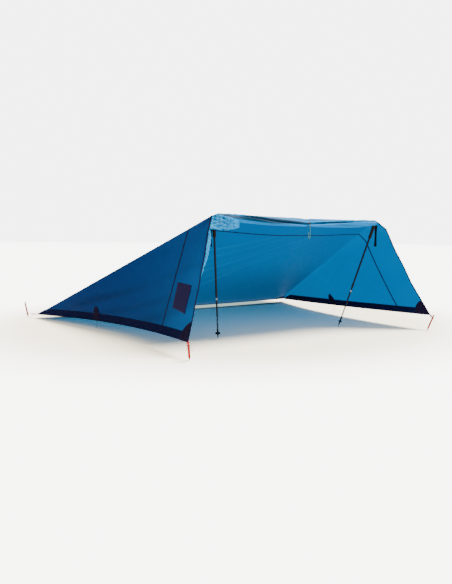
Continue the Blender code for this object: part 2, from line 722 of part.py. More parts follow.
def make_tie(corner, collection):
    """Webbing loop, ladder buckle and the cord that runs round the stake and back."""
    start, pull, sideways, up, distance = tie_frame(corner)
    turn = Matrix((pull, sideways, up)).transposed().to_4x4()
    first = 0.003
    half_height = WEBBING_INNER[1] / 2 + WEBBING_THICKNESS
    loop_end = first + WEBBING_INNER[0] + 2 * WEBBING_THICKNESS
    webbing = flat_outline(
        "webbing_loop_" + corner,
        [stadium(first, loop_end, half_height),
         stadium(first + WEBBING_THICKNESS, loop_end - WEBBING_THICKNESS, WEBBING_INNER[1] / 2)],
        WEBBING_WIDTH, "green_webbing", collection)
    edge_on = Matrix((pull, up, -sideways)).transposed().to_4x4()
    webbing.matrix_world = Matrix.Translation(start) @ edge_on

    bar = loop_end - WEBBING_THICKNESS - 0.001 - BUCKLE_BAR
    slot_length, slot_width = BUCKLE_SLOT
    first_slot = bar + BUCKLE_BAR
    second_slot = first_slot + slot_length + BUCKLE_BAR
    end = second_slot + slot_length + BUCKLE_BAR
    buckle = flat_outline(
        "buckle_" + corner,
        [rectangle(bar, end, BUCKLE_WIDTH / 2),
         rectangle(first_slot, first_slot + slot_length, slot_width / 2),
         rectangle(second_slot, second_slot + slot_length, slot_width / 2)],
        BUCKLE_THICKNESS, "black_plastic", collection)
    buckle.matrix_world = Matrix.Translation(start) @ turn
    make_guy_cord(corner, second_slot + slot_length / 2, end, collection)


def make_guy_cord(corner, slot, end, collection):
    start, pull, sideways, up, distance = tie_frame(corner)

    def at(out, aside, above):
        return start + pull * out + sideways * aside + up * above

    lift = BUCKLE_THICKNESS / 2 + CORD_RADIUS + 0.0015
    leg = 0.004
    points = [at(slot, -leg, -0.008), at(slot, -leg, 0.0), at(slot + 0.002, -leg, lift),
              at(end, -leg, lift + 0.0003), at(end + 0.006, -leg, 0.002)]
    for angle in steps(130, -130, 8):
        turn = math.radians(angle)
        points.append(at(distance + LOOP_RADIUS * math.cos(turn), -LOOP_RADIUS * math.sin(turn), 0.0))
    points += [at(end + 0.006, leg, 0.002), at(end, leg, lift + 0.0003), at(slot + 0.002, leg, lift),
               at(slot, leg, 0.0), at(slot, leg + 0.001, -0.008)]
    last = points[-1]
    drop = min(TAIL_LENGTH, last.z - 0.008)
    away = (pull * 0.4 + sideways * 0.9).normalized()
    for part in (0.35, 0.7, 1.0):
        reach = TAIL_LENGTH * part
        points.append(last + away * reach * 0.55 - Vector((0, 0, drop * part * 0.8)))
    cord("guy_cord_" + corner, points, CORD_RADIUS, "guy_cord", collection)


def make_tie_out_cord(word, side, collection):
    """A loop of cord hanging from the middle of each side hem."""
    middle = MID_HEM_SHARE[side]
    base = hem_point(side, middle) - Vector((0, 0, 0.004))
    along = (hem_point(side, middle + 0.01) - hem_point(side, middle - 0.01)).normalized()
    drop = min(TIE_OUT_DROP, base.z - 0.006)
    points = []
    for spread, depth in ((-0.35, 0.0), (-0.8, 0.30), (-1.0, 0.65), (-0.6, 0.93), (0.0, 1.0),
                          (0.6, 0.93), (1.0, 0.65), (0.8, 0.30), (0.35, 0.0)):
        points.append(base + along * spread * TIE_OUT_SPREAD - Vector((0, 0, depth * drop)))
    cord("tie_out_cord_" + word, points, CORD_RADIUS, "guy_cord", collection)


def main():
    clear_scene()
    collection = bpy.data.collections.new("tarp_shelter")
    bpy.context.scene.collection.children.link(collection)
    make_fly(collection)
    make_hems(collection)
    make_patches(collection)
    make_brow(collection)
    make_brow_tie(collection)
    for word, side in SIDES.items():
        make_pole(word, side, collection)
        make_tie_out_cord(word, side, collection)
    for corner in STAKE_PLACES:
        make_stake(corner, collection)
        make_tie(corner, collection)
    bpy.context.view_layer.update()


main()
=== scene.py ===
"""Tarp shelter pitched on two trekking poles: camera, cords, cloth, corner ties, poles and stage.

Lengths are in metres.  The open side faces -Y and the ground is at z = 0.
"""
import math

import bmesh
import bpy
from bpy.props import FloatProperty, FloatVectorProperty, IntProperty, PointerProperty
from mathutils import Matrix, Vector, noise


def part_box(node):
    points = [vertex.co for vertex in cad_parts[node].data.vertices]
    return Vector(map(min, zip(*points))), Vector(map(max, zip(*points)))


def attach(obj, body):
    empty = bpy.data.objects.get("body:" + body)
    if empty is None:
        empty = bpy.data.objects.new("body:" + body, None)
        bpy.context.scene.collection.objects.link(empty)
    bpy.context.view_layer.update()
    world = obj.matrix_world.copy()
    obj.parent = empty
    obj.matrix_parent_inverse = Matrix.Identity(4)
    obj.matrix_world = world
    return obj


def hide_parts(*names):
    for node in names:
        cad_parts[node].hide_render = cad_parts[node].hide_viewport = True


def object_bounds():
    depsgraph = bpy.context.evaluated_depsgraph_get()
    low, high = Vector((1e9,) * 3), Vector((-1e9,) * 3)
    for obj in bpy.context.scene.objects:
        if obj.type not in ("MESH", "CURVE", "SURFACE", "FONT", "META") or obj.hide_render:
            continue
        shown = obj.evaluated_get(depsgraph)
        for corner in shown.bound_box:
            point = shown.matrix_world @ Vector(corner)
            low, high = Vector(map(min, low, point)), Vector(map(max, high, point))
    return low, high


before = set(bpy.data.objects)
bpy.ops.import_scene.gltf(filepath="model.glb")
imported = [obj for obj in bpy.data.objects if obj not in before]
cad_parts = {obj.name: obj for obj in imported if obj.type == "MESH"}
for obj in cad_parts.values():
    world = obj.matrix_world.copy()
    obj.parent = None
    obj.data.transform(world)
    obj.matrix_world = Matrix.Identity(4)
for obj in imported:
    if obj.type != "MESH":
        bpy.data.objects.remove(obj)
cad_low, cad_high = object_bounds()

bl_info = {
    "name": "Tarp Shelter",
    "version": (1, 0, 0),
    "blender": (4, 5, 0),
    "location": "3D View > Sidebar > Shelter",
    "description": "Builds the pieces of a tarp shelter pitched on two trekking poles",
    "category": "Add Mesh",
}

SIDES = {"left": -1, "right": 1}
CORNERS = ("front_left", "front_right", "rear_left", "rear_right")

# ---- the pitch, as the solid model has it ----
RIDGE_HEIGHT = 1.10
RIDGE_HALF = 0.97
RIDGE_TO_MIDDLE = 1.013
RIDGE_SAG = 0.008
# Left and right corners of the sheet: outward from the middle, away from the ridge, up
FRONT_CORNERS = {-1: (1.38, 0.335, 0.12), 1: (1.42, 0.365, 0.15)}
REAR_CORNERS = {-1: (1.785, 2.38, 0.04), 1: (1.70, 2.38, 0.04)}
REAR_HALF = (REAR_CORNERS[-1][0] + REAR_CORNERS[1][0]) / 2
SIDE_CUT_IN = 0.15
SIDE_LIFT = 0.012
REAR_CUT_IN = 0.12
REAR_DROOP = 0.050
FRONT_CUT_IN = {-1: -0.015, 1: 0.035}
ROOF_SAG = 0.025
SHOULDER_SHARE = 0.12
SHOULDER_BULGE = {-1: Vector((0.020, -0.022, 0.012)), 1: Vector((0.041, -0.030, 0.038))}
SHOULDER_LENGTH = 0.35
CREASE_ROUND = 0.030                  # reach of the soft fold between roof and wing
SEAM_BACK = (0.50, 0.268, 0.375, 0.355, 0.35)   # at the left hem and crease, middle, right crease and hem
SEAM_WIDTH = 0.014
SIDE_HEM_WIDTH = 0.075
REAR_HEM_WIDTH = 0.030
BINDING_WIDTH = 0.012
CORNER_PATCH = 0.16
PATCH_LIFT = 0.0022                    # from the cloth to a patch's inner face
MID_PATCH_HALF = 0.060
MID_PATCH_DEPTH = 0.145
MID_HEM_SHARE = {-1: 0.606, 1: 0.505}
LABEL_SIZE = (0.215, 0.265)
LABEL_TILT = 0.70                      # how the label turns against the cloth's lanes
LABEL_SHEAR = 0.038
LABEL_CENTRE = (0.655, 0.085)
LABEL_BORDER = 0.006                   # how far the woven border lies inside the label's edge

# ---- rolled front flap ----
BROW_HALF = 0.90
ROLL_HALF = 0.955                      # the cloth reaches past the roll's full part
BROW_LONG_END = 0.028
BROW_LONG_MIDDLE = 0.047
BROW_THICK = 0.013
BROW_FORWARD = 0.012
BROW_RISE = 0.018                      # how far the bunched cloth stands proud at the left pole
BROW_LEAN = math.radians(38)
CURL_WIDTH = 0.044                     # of the curled lip on the left front edge
TIE_X = 0.03
TIE_RADIUS = 0.0015
TIE_HANG = 0.10

# ---- corner ties, stakes and poles ----
CORD_RADIUS = 0.00125
CORD_SPACING = 0.007
LOOP_RADIUS = 0.0140
WEBBING_WIDTH = 0.012
WEBBING_THICKNESS = 0.0015
WEBBING_INNER = (0.024, 0.006)
BUCKLE_THICKNESS = 0.004
BUCKLE_BAR = 0.004
BUCKLE_SLOT = (0.006, 0.0145)
TAIL_LENGTH = 0.055
TIE_OUT_DROP = 0.068
TIE_OUT_SPREAD = 0.012
STAKE_LENGTH = 0.175
STAKE_FLANGE = 0.010
STAKE_PLACES = {
    "front_left": {"beyond": (0.023, 0.065), "lean": (-0.050, -0.068), "loop_height": 0.118},
    "front_right": {"beyond": (-0.091, 0.0365), "lean": (0.045, -0.042), "loop_height": 0.130},
    "rear_left": {"beyond": (0.057, 0.098), "lean": (-0.030, 0.015), "loop_height": 0.045},
    "rear_right": {"beyond": (0.142, 0.098), "lean": (0.030, 0.015), "loop_height": 0.045},
}
PIVOT = (0.95, 0.055)                 # outward from the middle, below the ridge
POLE_FOOT = (0.74, 0.25)              # outward, behind the ridge
STRAP_OUT = 0.030
STRAP_HALF_WIDTH = 0.0098
STRAP_HALF_THICK = 0.0010
POCKET_HOLLOW = 0.0197                # radius of the hollow for the grip's head

# Painted highlights along creases that fan over the roof from the right pole: turn, half width, start and
# end of the run
ROOF_CREASE_HIGHLIGHTS = ((0.52, 0.010, 0.35, 1.9), (0.60, 0.007, 0.3, 1.7), (0.70, 0.012, 0.25, 1.8),
                (0.79, 0.006, 0.3, 1.5), (0.88, 0.010, 0.2, 1.4), (1.00, 0.012, 0.2, 1.3))

# Studio floor: half sizes of the zone round the shelter; for camera rays the floor's colour is painted about
# twice as bright inside it and brighter still beyond it
FLOOR_ZONE = (2.5, 2.2)
FLOOR_ZONE_MIDDLE = 0.2


def srgb(red, green, blue):
    """A colour given as 0-255 screen values, as linear light."""
    def linear(value):
        value /= 255
        return value / 12.92 if value <= 0.04045 else ((value + 0.055) / 1.055) ** 2.4
    return linear(red), linear(green), linear(blue)


def colour_property(name, description, default):
    return FloatVectorProperty(name=name, description=description, default=default,
                               subtype="COLOR", min=0.0, max=1.0)


class ShelterCloth(bpy.types.PropertyGroup):
    """Sizes and colours of the cloth pieces."""
    sheet_colour: colour_property("Sheet", "Dyed colour of the ripstop sheet", (0.001, 0.040, 0.175))
    glow_colour: colour_property("Glow", "Colour of daylight that comes through the sheet",
                                 (0.0005, 0.128, 0.345))
    glow: FloatProperty(name="Glow Share", description="Share of light that the sheet lets through",
                        default=0.5, min=0.0, max=1.0, subtype="FACTOR")
    brow_colour: colour_property("Rolled Flap", "Colour of the rolled front flap",
                                 (0.0, 0.33, 0.80))
    hem_colour: colour_property("Hem", "Colour of the hem bands", (0.003, 0.006, 0.052))
    tape_colour: colour_property("Tape", "Colour of seams, bindings and patches",
                                 (0.009, 0.003, 0.026))
    label_colour: colour_property("Label", "Colour of the woven label", (0.010, 0.005, 0.050))
    thread_colour: colour_property("Thread", "Colour of the stitching", (0.05, 0.06, 0.11))
    fold_height: FloatProperty(name="Fold Height", description="Height of the tension folds",
                               default=0.0045, min=0.0, max=0.02, unit="LENGTH")
    ripstop_cell: FloatProperty(name="Ripstop Cell", description="Size of a ripstop square",
                                default=0.006, min=0.002, max=0.02, unit="LENGTH")
    lanes: IntProperty(name="Lanes", description="Steps across the roof", default=190, min=24, max=300)
    rows: IntProperty(name="Rows", description="Steps from ridge to rear hem", default=150, min=24,
                      max=400)


class ShelterTies(bpy.types.PropertyGroup):
    """Colours of cords, webbing and stakes."""
    cord_colour: colour_property("Cord", "Colour of the corner cords", srgb(150, 138, 128))
    tracer_colour: colour_property("Tracer", "Colour of the fleck woven into the cords",
                                   srgb(196, 30, 26))
    tie_out_colour: colour_property("Tie-Out Cord", "Colour of the loops at the side hems",
                                    srgb(72, 110, 84))
    elastic_colour: colour_property("Elastic", "Colour of the flap's elastic", srgb(126, 190, 44))
    webbing_colour: colour_property("Webbing", "Colour of the corner loops", srgb(6, 92, 40))
    stake_colour: colour_property("Stake", "Anodised colour of the stakes", srgb(205, 10, 14))


class ShelterPoles(bpy.types.PropertyGroup):
    """Finishes of the trekking poles."""
    tube_colour: colour_property("Tube", "Lacquer of the pole tubes", (0.006, 0.006, 0.008))
    plastic_colour: colour_property("Plastic", "Colour of the moulded parts", (0.010, 0.014, 0.016))
    grip_colour: colour_property("Grip", "Colour of the foam grip", (0.020, 0.013, 0.010))
    strap_colour: colour_property("Strap", "Colour of the wrist strap", (0.004, 0.006, 0.014))
    band_colour: colour_property("Band", "Colour of the limit rings on the tubes", (0.62, 0.62, 0.60))


class ShelterStage(bpy.types.PropertyGroup):
    """Camera, lights and floor."""
    azimuth: FloatProperty(name="Azimuth", description="Camera direction round the shelter",
                           default=math.radians(-33.11), subtype="ANGLE")
    elevation: FloatProperty(name="Elevation", description="Camera height above the horizon",
                             default=math.radians(5.51), subtype="ANGLE")
    distance: FloatProperty(name="Distance", description="Camera distance from its target",
                            default=5.95, min=1.0, unit="LENGTH")
    sun: FloatProperty(name="Sun", description="Strength of the soft key light", default=6.6, min=0.0)
    sky: FloatProperty(name="Sky", description="Strength of the light from all round", default=0.55,
                       min=0.0)


# ---- placing the cloth ----
def ridge_frame(x, y, z):
    """A place given from the ridge's middle, as a place in the object's own frame."""
    return Vector((x, y - RIDGE_TO_MIDDLE, z))


def corners(side):
    top = ridge_frame(side * RIDGE_HALF, 0.0, RIDGE_HEIGHT)
    outward, forward, up = FRONT_CORNERS[int(side)]
    front = ridge_frame(side * outward, -forward, up)
    outward, back, up = REAR_CORNERS[int(side)]
    rear = ridge_frame(side * outward, back, up)
    return top, front, rear


CREASE_LENGTH = (corners(1)[2] - corners(1)[0]).length


def share(length):
    """A length along the crease as a share of it."""
    return length / CREASE_LENGTH


def smooth(value, low, high):
    """0 below low, 1 above high and a soft step between."""
    t = min(1.0, max(0.0, (value - low) / (high - low)))
    return t * t * (3 - 2 * t)


def held_in(value):
    """The value, but not under 0 or over 1."""
    return min(1.0, max(0.0, value))


def steps(start, end, count):
    return [start + (end - start) * step / count for step in range(count + 1)]


def roof_point(across, along):
    left_top, _, left_rear = corners(-1)
    right_top, _, right_rear = corners(1)
    point = left_top.lerp(left_rear, along).lerp(right_top.lerp(right_rear, along), (across + 1) / 2)
    sag = ROOF_SAG * math.sin(math.pi * along) + RIDGE_SAG * (1 - along) + REAR_DROOP * along ** 2
    return point - Vector((0, 0, (1 - across ** 2) * sag))


def hem_point(side, along):
    _, front, rear = corners(side)
    return front.lerp(rear, along) + Vector((-side * SIDE_CUT_IN, 0, SIDE_LIFT)) * 4 * along * (1 - along)


def wing_depth(side, along):
    top, _, rear = corners(side)
    return (hem_point(side, along) - top.lerp(rear, along)).length


def wing_point(side, down, along):
    top, _, rear = corners(side)
    cut = FRONT_CUT_IN[int(side)] / CREASE_LENGTH * 4 * down * (1 - down)
    along = cut + along * (1 - cut)
    point = top.lerp(rear, along).lerp(hem_point(side, along), down)
    rise = down / SHOULDER_SHARE if down < SHOULDER_SHARE else (1 - down) / (1 - SHOULDER_SHARE)
    out, forward, up = SHOULDER_BULGE[int(side)]
    return point + Vector((side * out, forward, up)) * rise * max(0.0, 1 - along / SHOULDER_LENGTH)


def flat_cloth_point(lane, along):
    """lane runs from -2 at the left hem over the creases at -1 and 1 to 2 at the right hem."""
    if abs(lane) <= 1:
        return roof_point(lane, along)
    return wing_point(math.copysign(1, lane), abs(lane) - 1, along)


def cloth_point(lane, along):
    """The sheet with its folds between roof and wings rounded off."""
    side = math.copysign(1, lane)
    past = abs(lane) - 1
    roof_half = RIDGE_HALF + (REAR_HALF - RIDGE_HALF) * along
    depth = max(wing_depth(side, min(along, 1.0)), 0.001)
    metres = past * (depth if past > 0 else roof_half)
    reach = min(CREASE_ROUND * (0.35 + 0.65 * smooth(along, 0.02, 0.2)), depth / 2)
    if abs(metres) >= reach:
        return flat_cloth_point(lane, along)
    half = (reach - abs(metres)) / 2
    total = Vector((0, 0, 0))
    for place in (metres - half, metres + half):
        total += flat_cloth_point(side * (1 + place / (depth if place > 0 else roof_half)), along)
    return total / 2


def outward_normal(lane, along):
    step = 0.004
    a = flat_cloth_point(lane + step, along) - flat_cloth_point(lane - step, along)
    b = flat_cloth_point(lane, along + step) - flat_cloth_point(lane, along - step)
    normal = a.cross(b).normalized()
    return normal if normal.z > 0 else -normal


def streak(run, across, toward, width, length, seed):
    """Long narrow folds that run one way over a flat place of the cloth, from -1 to 1."""
    c, s = math.cos(toward), math.sin(toward)
    return noise.noise(Vector(((run * c + across * s) / length, (across * c - run * s) / width, seed)))


def crest(value, sharpness):
    """Turns soft noise into narrow crests where it crosses zero."""
    return max(0.0, 1 - abs(value) * sharpness) ** 2


def fold_height(lane, along):
    """How far the cloth stands out from its smooth shape, in metres."""
    unit = bpy.context.scene.shelter_cloth.fold_height
    side = math.copysign(1, lane)
    run = along * CREASE_LENGTH
    if abs(lane) <= 1:
        across = lane * (RIDGE_HALF + (REAR_HALF - RIDGE_HALF) * along)
        inside = smooth(1 - abs(lane), 0.0, 0.10)
        edge = smooth(run, 0.0, 0.08) * smooth(rear_edge(lane) - along, 0.0, 0.05)
        broad = 1.5 * noise.noise(Vector((across / 0.55, run / 0.7, 3.1)))
        pull = math.radians(-52)      # from one pole top towards the opposite rear corner
        lines = 0.75 * crest(streak(run, across, pull, 0.075, 1.5, 8.4), 3.2) \
            * smooth(along, 0.05, 0.25) * smooth(0.9 - along, 0.0, 0.35)
        fine = 0.35 * streak(run, across, pull, 0.030, 0.6, 1.7) * smooth(0.8 - along, 0.0, 0.5)
        other = 0.45 * crest(streak(run, across, math.radians(38), 0.11, 1.3, 5.2), 3.0) \
            * smooth(along, 0.1, 0.3) * smooth(0.95 - along, 0.0, 0.3)
        return unit * (broad + lines + fine + other) * inside * edge
    depth = wing_depth(side, min(along, 1.0))
    across = (abs(lane) - 1) * depth
    inside = smooth(across, 0.0, 0.10) * smooth(depth - across, 0.0, 0.10)
    rear = math.radians(16) * (1 if across < depth / 2 else 0.6)
    broad = 1.2 * noise.noise(Vector((across / 0.35, run / 0.8, 7.7 + side)))
    long_folds = 1.1 * streak(run, across, rear, 0.085, 1.1, 2.3 + side) \
        * smooth(along, 0.08, 0.3) * smooth(0.95 - along, 0.0, 0.3)
    fine = 0.35 * streak(run, across, rear, 0.028, 0.45, 4.3 + side)
    front = smooth(0.12 - along, 0.0, 0.1)
    flutter = 1.4 * front * noise.noise(Vector((across / 0.13, 2.0 * side, 0.4))) \
        * smooth(across, 0.02, 0.2) * smooth(depth - across, 0.02, 0.2)
    gather = 1.6 * front * smooth(0.16 - across / depth, 0.0, 0.16) \
        * noise.noise(Vector((across / 0.022, run / 0.09, 6.0 + side)))
    return unit * ((broad + long_folds + fine) * inside + flutter + gather)


def rear_edge(lane):
    across = min(abs(lane), 1.0)
    return 1 - REAR_CUT_IN * (1 - across ** 2) / CREASE_LENGTH


def seam_place(lane, beyond=0.0):
    """Where the seam's middle lies along the crease direction, or beyond metres behind it."""
    lane = max(-2.0, min(2.0, lane))
    first = min(int(lane + 2), 3)
    back = SEAM_BACK[first] + (SEAM_BACK[first + 1] - SEAM_BACK[first]) * (lane + 2 - first)
    return share(back + beyond)


def hem_inner(side, along):
    return max(1 - SIDE_HEM_WIDTH / wing_depth(side, along), 0.3)


def surface(lane, along, lift=0.0):
    """A point of the pitched cloth, or lift metres outside it."""
    return cloth_point(lane, along) + outward_normal(lane, along) * (fold_height(lane, along) + lift)


# ---- meshes ----
def add_piece(name, mesh, material, body="canopy"):
    """A piece that rides on a body, with the finish of that name."""
    mesh.name = name
    piece = bpy.data.objects.new(name, mesh)
    mesh.materials.append(finish(material))
    bpy.context.scene.collection.objects.link(piece)
    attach(piece, body)
    return piece


def cover(name, mesh, material, node, body="canopy"):
    """A piece that is shown in place of a solid-model node."""
    piece = add_piece(name, mesh, material, body)
    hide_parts(node)
    return piece


def grid_mesh(rows, flat, round_across=False, capped=False, merge=0.0, marks=None):
    """A mesh over rows of points.  flat holds each point's place on the laid-out cloth in metres,
    and marks holds a depth of painted shade and a strength of painted highlight for each point."""
    mesh = bpy.data.meshes.new("grid")
    shape = bmesh.new()
    layer = shape.loops.layers.uv.new("cut")
    # the marks layer carries painted shade and painted highlights into the cloth's colour
    marked = shape.loops.layers.uv.new("marks") if marks else None
    grid = [[shape.verts.new(point) for point in row] for row in rows]
    count = len(rows[0])
    span = count if round_across else count - 1
    for r in range(len(rows) - 1):
        for c in range(span):
            after = (c + 1) % count
            corners_here = ((r, c), (r, after), (r + 1, after), (r + 1, c))
            face = shape.faces.new([grid[i][j] for i, j in corners_here])
            face.smooth = True
            for loop, (i, j) in zip(face.loops, corners_here):
                loop[layer].uv = flat[i][j]
                if marks:
                    loop[marked].uv = marks[i][j]
            if after == 0:
                width = flat[r][count - 1][1] - flat[r][count - 2][1]
                for k in (1, 2):
                    u, v = flat[corners_here[k][0]][count - 1]
                    face.loops[k][layer].uv = (u, v + width)
    if capped:
        for row in (grid[0], grid[-1]):
            shape.faces.new(row)
    if merge:
        bmesh.ops.remove_doubles(shape, verts=shape.verts, dist=merge)
    bmesh.ops.recalc_face_normals(shape, faces=shape.faces)
    shape.to_mesh(mesh)
    shape.free()
    return mesh


def tape_mesh(stations, lift, inside=None):
    """A tape folded round the cloth; stations are rows of (lane, along) places across it."""
    inside = lift if inside is None else inside
    rows, flat, length, before = [], [], 0.0, None
    for places in stations:
        row = [surface(lane, along, lift) for lane, along in places]
        row += [surface(lane, along, -inside) for lane, along in reversed(places)]
        middle = row[len(places) // 2]
        length += (middle - before).length if before is not None else 0.0
        before = middle
        width = sum((b - a).length for a, b in zip(row, row[1:len(places)]))
        marks = [-width / 2 + width * step / (len(places) - 1) for step in range(len(places))]
        rows.append(row)
        flat.append([(length, mark) for mark in marks + marks[::-1]])
    return grid_mesh(rows, flat, round_across=True, capped=True)


def tube_mesh(path, radius, sides=10, capped=True):
    """A round tube along a path, with its own length and girth as its flat places."""
    rows, flat, length = [], [], 0.0
    direction = (path[1] - path[0]).normalized()
    aside = direction.orthogonal().normalized()
    for k, point in enumerate(path):
        ahead = path[min(k + 1, len(path) - 1)] - path[max(k - 1, 0)]
        ahead.normalize()
        aside = (aside - ahead * aside.dot(ahead)).normalized()
        up = ahead.cross(aside)
        if k:
            length += (point - path[k - 1]).length
        row, marks = [], []
        for step in range(sides):
            angle = math.tau * step / sides
            row.append(point + (aside * math.cos(angle) + up * math.sin(angle)) * radius)
            marks.append((length, radius * angle))
        rows.append(row)
        flat.append(marks)
    return grid_mesh(rows, flat, round_across=True, capped=capped)


def webbing_mesh(path, spot, half_width, half_thick, thinning, steps_across, closed=False):
    """Webbing along a flat path of (out, above) places, a little thinner towards its edges.

    spot turns (out, above, aside) into a place in space.
    """
    rows, flat, length, count = [], [], 0.0, len(path)
    for k in range(count + closed):
        out, above = path[k % count]
        ahead = path[(k + 1) % count] if closed else path[min(k + 1, count - 1)]
        back = path[(k - 1) % count] if closed else path[max(k - 1, 0)]
        tangent = Vector((ahead[0] - back[0], ahead[1] - back[1])).normalized()
        normal = Vector((-tangent.y, tangent.x)) * half_thick
        if k:
            length += math.hypot(out - path[k - 1][0], above - path[k - 1][1])
        row, marks = [], []
        for sign in (1, -1):
            for width in steps(-sign, sign, steps_across):
                edge = sign * (1 - thinning * abs(width) ** steps_across)
                row.append(spot(out + normal.x * edge, above + normal.y * edge, width * half_width))
                marks.append((length, width * half_width))
        rows.append(row)
        flat.append(marks)
    return grid_mesh(rows, flat, round_across=True, capped=not closed, merge=0.00001 if closed else 0.0)


def smooth_route(points, spacing):
    """Points every so often along a Catmull-Rom curve through the given points."""
    padded = [2 * points[0] - points[1]] + list(points) + [2 * points[-1] - points[-2]]
    route = []
    for start, a, b, end in zip(padded, padded[1:], padded[2:], padded[3:]):
        count = max(1, round((b - a).length / spacing))
        for step in range(count):
            t = step / count
            route.append(0.5 * (2 * a + (b - start) * t
                                + (2 * start - 5 * a + 4 * b - end) * t ** 2
                                + (3 * a - start - 3 * b + end) * t ** 3))
    route.append(points[-1])
    return route


def route_length(route):
    return sum((b - a).length for a, b in zip(route, route[1:]))


# ---- node groups and materials ----
def new_group(name, inputs, outputs):
    """A shader group with named sockets: (name, kind, default) for inputs, (name, kind) for outputs."""
    found = bpy.data.node_groups.get(name)
    if found:
        return found, None, None
    group = bpy.data.node_groups.new(name, "ShaderNodeTree")
    for label, kind, default in inputs:
        socket = group.interface.new_socket(name=label, in_out="INPUT", socket_type=kind)
        if default is not None:
            socket.default_value = default
    for label, kind in outputs:
        group.interface.new_socket(name=label, in_out="OUTPUT", socket_type=kind)
    return group, group.nodes.new("NodeGroupInput"), group.nodes.new("NodeGroupOutput")


def feed(tree, socket, value):
    """Gives a socket its value: another socket, a number or a linear colour."""
    if isinstance(value, bpy.types.NodeSocket):
        tree.links.new(value, socket)
    elif isinstance(value, (int, float)):
        socket.default_value = value
    else:
        socket.default_value = (*value, 1.0)


def maths(tree, operation, *values, clamp=False):
    """A Math node; each value is a number or a socket.  Returns its output."""
    made = tree.nodes.new("ShaderNodeMath")
    made.operation = operation
    made.use_clamp = clamp
    for socket, value in zip(made.inputs, values):
        feed(tree, socket, value)
    return made.outputs[0]


def mixed(tree, factor, first, second):
    """A colour mix; colours are sockets or linear triples.  Returns its output."""
    made = tree.nodes.new("ShaderNodeMix")
    made.data_type = "RGBA"
    for index, value in ((0, factor), (6, first), (7, second)):
        feed(tree, made.inputs[index], value)
    return made.outputs[2]


def split_axes(tree, vector):
    """The three parts of a vector socket."""
    made = tree.nodes.new("ShaderNodeSeparateXYZ")
    tree.links.new(vector, made.inputs[0])
    return made.outputs


def tinted(colour, share_kept, added=0.0):
    """A colour made darker or lighter by a factor."""
    return tuple(min(1.0, channel * share_kept + added) for channel in colour)


def noise_at(tree, vector, scale, detail=4.0, rough=0.55):
    made = tree.nodes.new("ShaderNodeTexNoise")
    made.inputs["Scale"].default_value = scale
    made.inputs["Detail"].default_value = detail
    made.inputs["Roughness"].default_value = rough
    tree.links.new(vector, made.inputs["Vector"])
    return made.outputs["Fac"]


def ripstop_group():
    """Plain weave with a square grid of thicker threads."""
    group, source, result = new_group(
        "Ripstop Weave",
        [("Cut", "NodeSocketVector", None), ("Cell", "NodeSocketFloat", 0.006),
         ("Thread Share", "NodeSocketFloat", 0.10)],
        [("Threads", "NodeSocketFloat"), ("Height", "NodeSocketFloat")])
    if source is None:
        return group
    split = split_axes(group, source.outputs["Cut"])
    lines, weave = [], []
    for axis in (0, 1):
        place = maths(group, "DIVIDE", split[axis], source.outputs["Cell"])
        off_line = maths(group, "ABSOLUTE", maths(group, "SUBTRACT", maths(group, "FRACT", place), 0.5))
        near = maths(group, "SUBTRACT", off_line, maths(group, "SUBTRACT", 0.5,
                                                        source.outputs["Thread Share"]))
        lines.append(maths(group, "DIVIDE", near, source.outputs["Thread Share"], clamp=True))
        weave.append(maths(group, "SINE", maths(group, "MULTIPLY", place, math.tau * 12)))
    threads = maths(group, "MAXIMUM", *lines)
    cross = maths(group, "MULTIPLY", *weave)
    group.links.new(threads, result.inputs["Threads"])
    group.links.new(maths(group, "ADD", threads, maths(group, "MULTIPLY", cross, 0.18)),
                    result.inputs["Height"])
    return group


def webbing_group():
    """Ribbed woven tape: ribs across it and a herringbone along it."""
    group, source, result = new_group(
        "Webbing Weave",
        [("Cut", "NodeSocketVector", None), ("Rib", "NodeSocketFloat", 0.0012)],
        [("Shade", "NodeSocketFloat"), ("Height", "NodeSocketFloat")])
    if source is None:
        return group
    split = split_axes(group, source.outputs["Cut"])
    along = maths(group, "DIVIDE", split[0], source.outputs["Rib"])
    across = maths(group, "DIVIDE", split[1], source.outputs["Rib"])
    slant = maths(group, "PINGPONG", across, 2.0)
    ribs = maths(group, "SINE", maths(group, "MULTIPLY", maths(group, "ADD", along, slant), math.pi))
    fine = maths(group, "SINE", maths(group, "MULTIPLY", across, math.tau))
    height = maths(group, "ADD", maths(group, "MULTIPLY", ribs, 0.5), maths(group, "MULTIPLY", fine, 0.2))
    group.links.new(height, result.inputs["Height"])
    group.links.new(maths(group, "ADD", maths(group, "MULTIPLY", height, 0.35), 0.5, clamp=True),
                    result.inputs["Shade"])
    return group


def stitch_group():
    """Two rows of dashes, each Offset metres from a tape's middle line."""
    group, source, result = new_group(
        "Stitch Rows",
        [("Cut", "NodeSocketVector", None), ("Offset", "NodeSocketFloat", 0.005),
         ("Pitch", "NodeSocketFloat", 0.004), ("Width", "NodeSocketFloat", 0.0005)],
        [("Mask", "NodeSocketFloat"), ("Height", "NodeSocketFloat")])
    if source is None:
        return group
    split = split_axes(group, source.outputs["Cut"])
    away = maths(group, "ABSOLUTE", maths(group, "SUBTRACT", maths(group, "ABSOLUTE", split[1]),
                                          source.outputs["Offset"]))
    row = maths(group, "SUBTRACT", 1.0, maths(group, "DIVIDE", away, source.outputs["Width"]), clamp=True)
    dash = maths(group, "FRACT", maths(group, "DIVIDE", split[0], source.outputs["Pitch"]))
    dash = maths(group, "SUBTRACT", 0.36, maths(group, "ABSOLUTE", maths(group, "SUBTRACT", dash, 0.5)))
    dash = maths(group, "MULTIPLY", dash, 12.0, clamp=True)
    mask = maths(group, "MULTIPLY", row, dash)
    group.links.new(mask, result.inputs["Mask"])
    group.links.new(maths(group, "SUBTRACT", mask, maths(group, "MULTIPLY", row, 0.5)),
                    result.inputs["Height"])
    return group


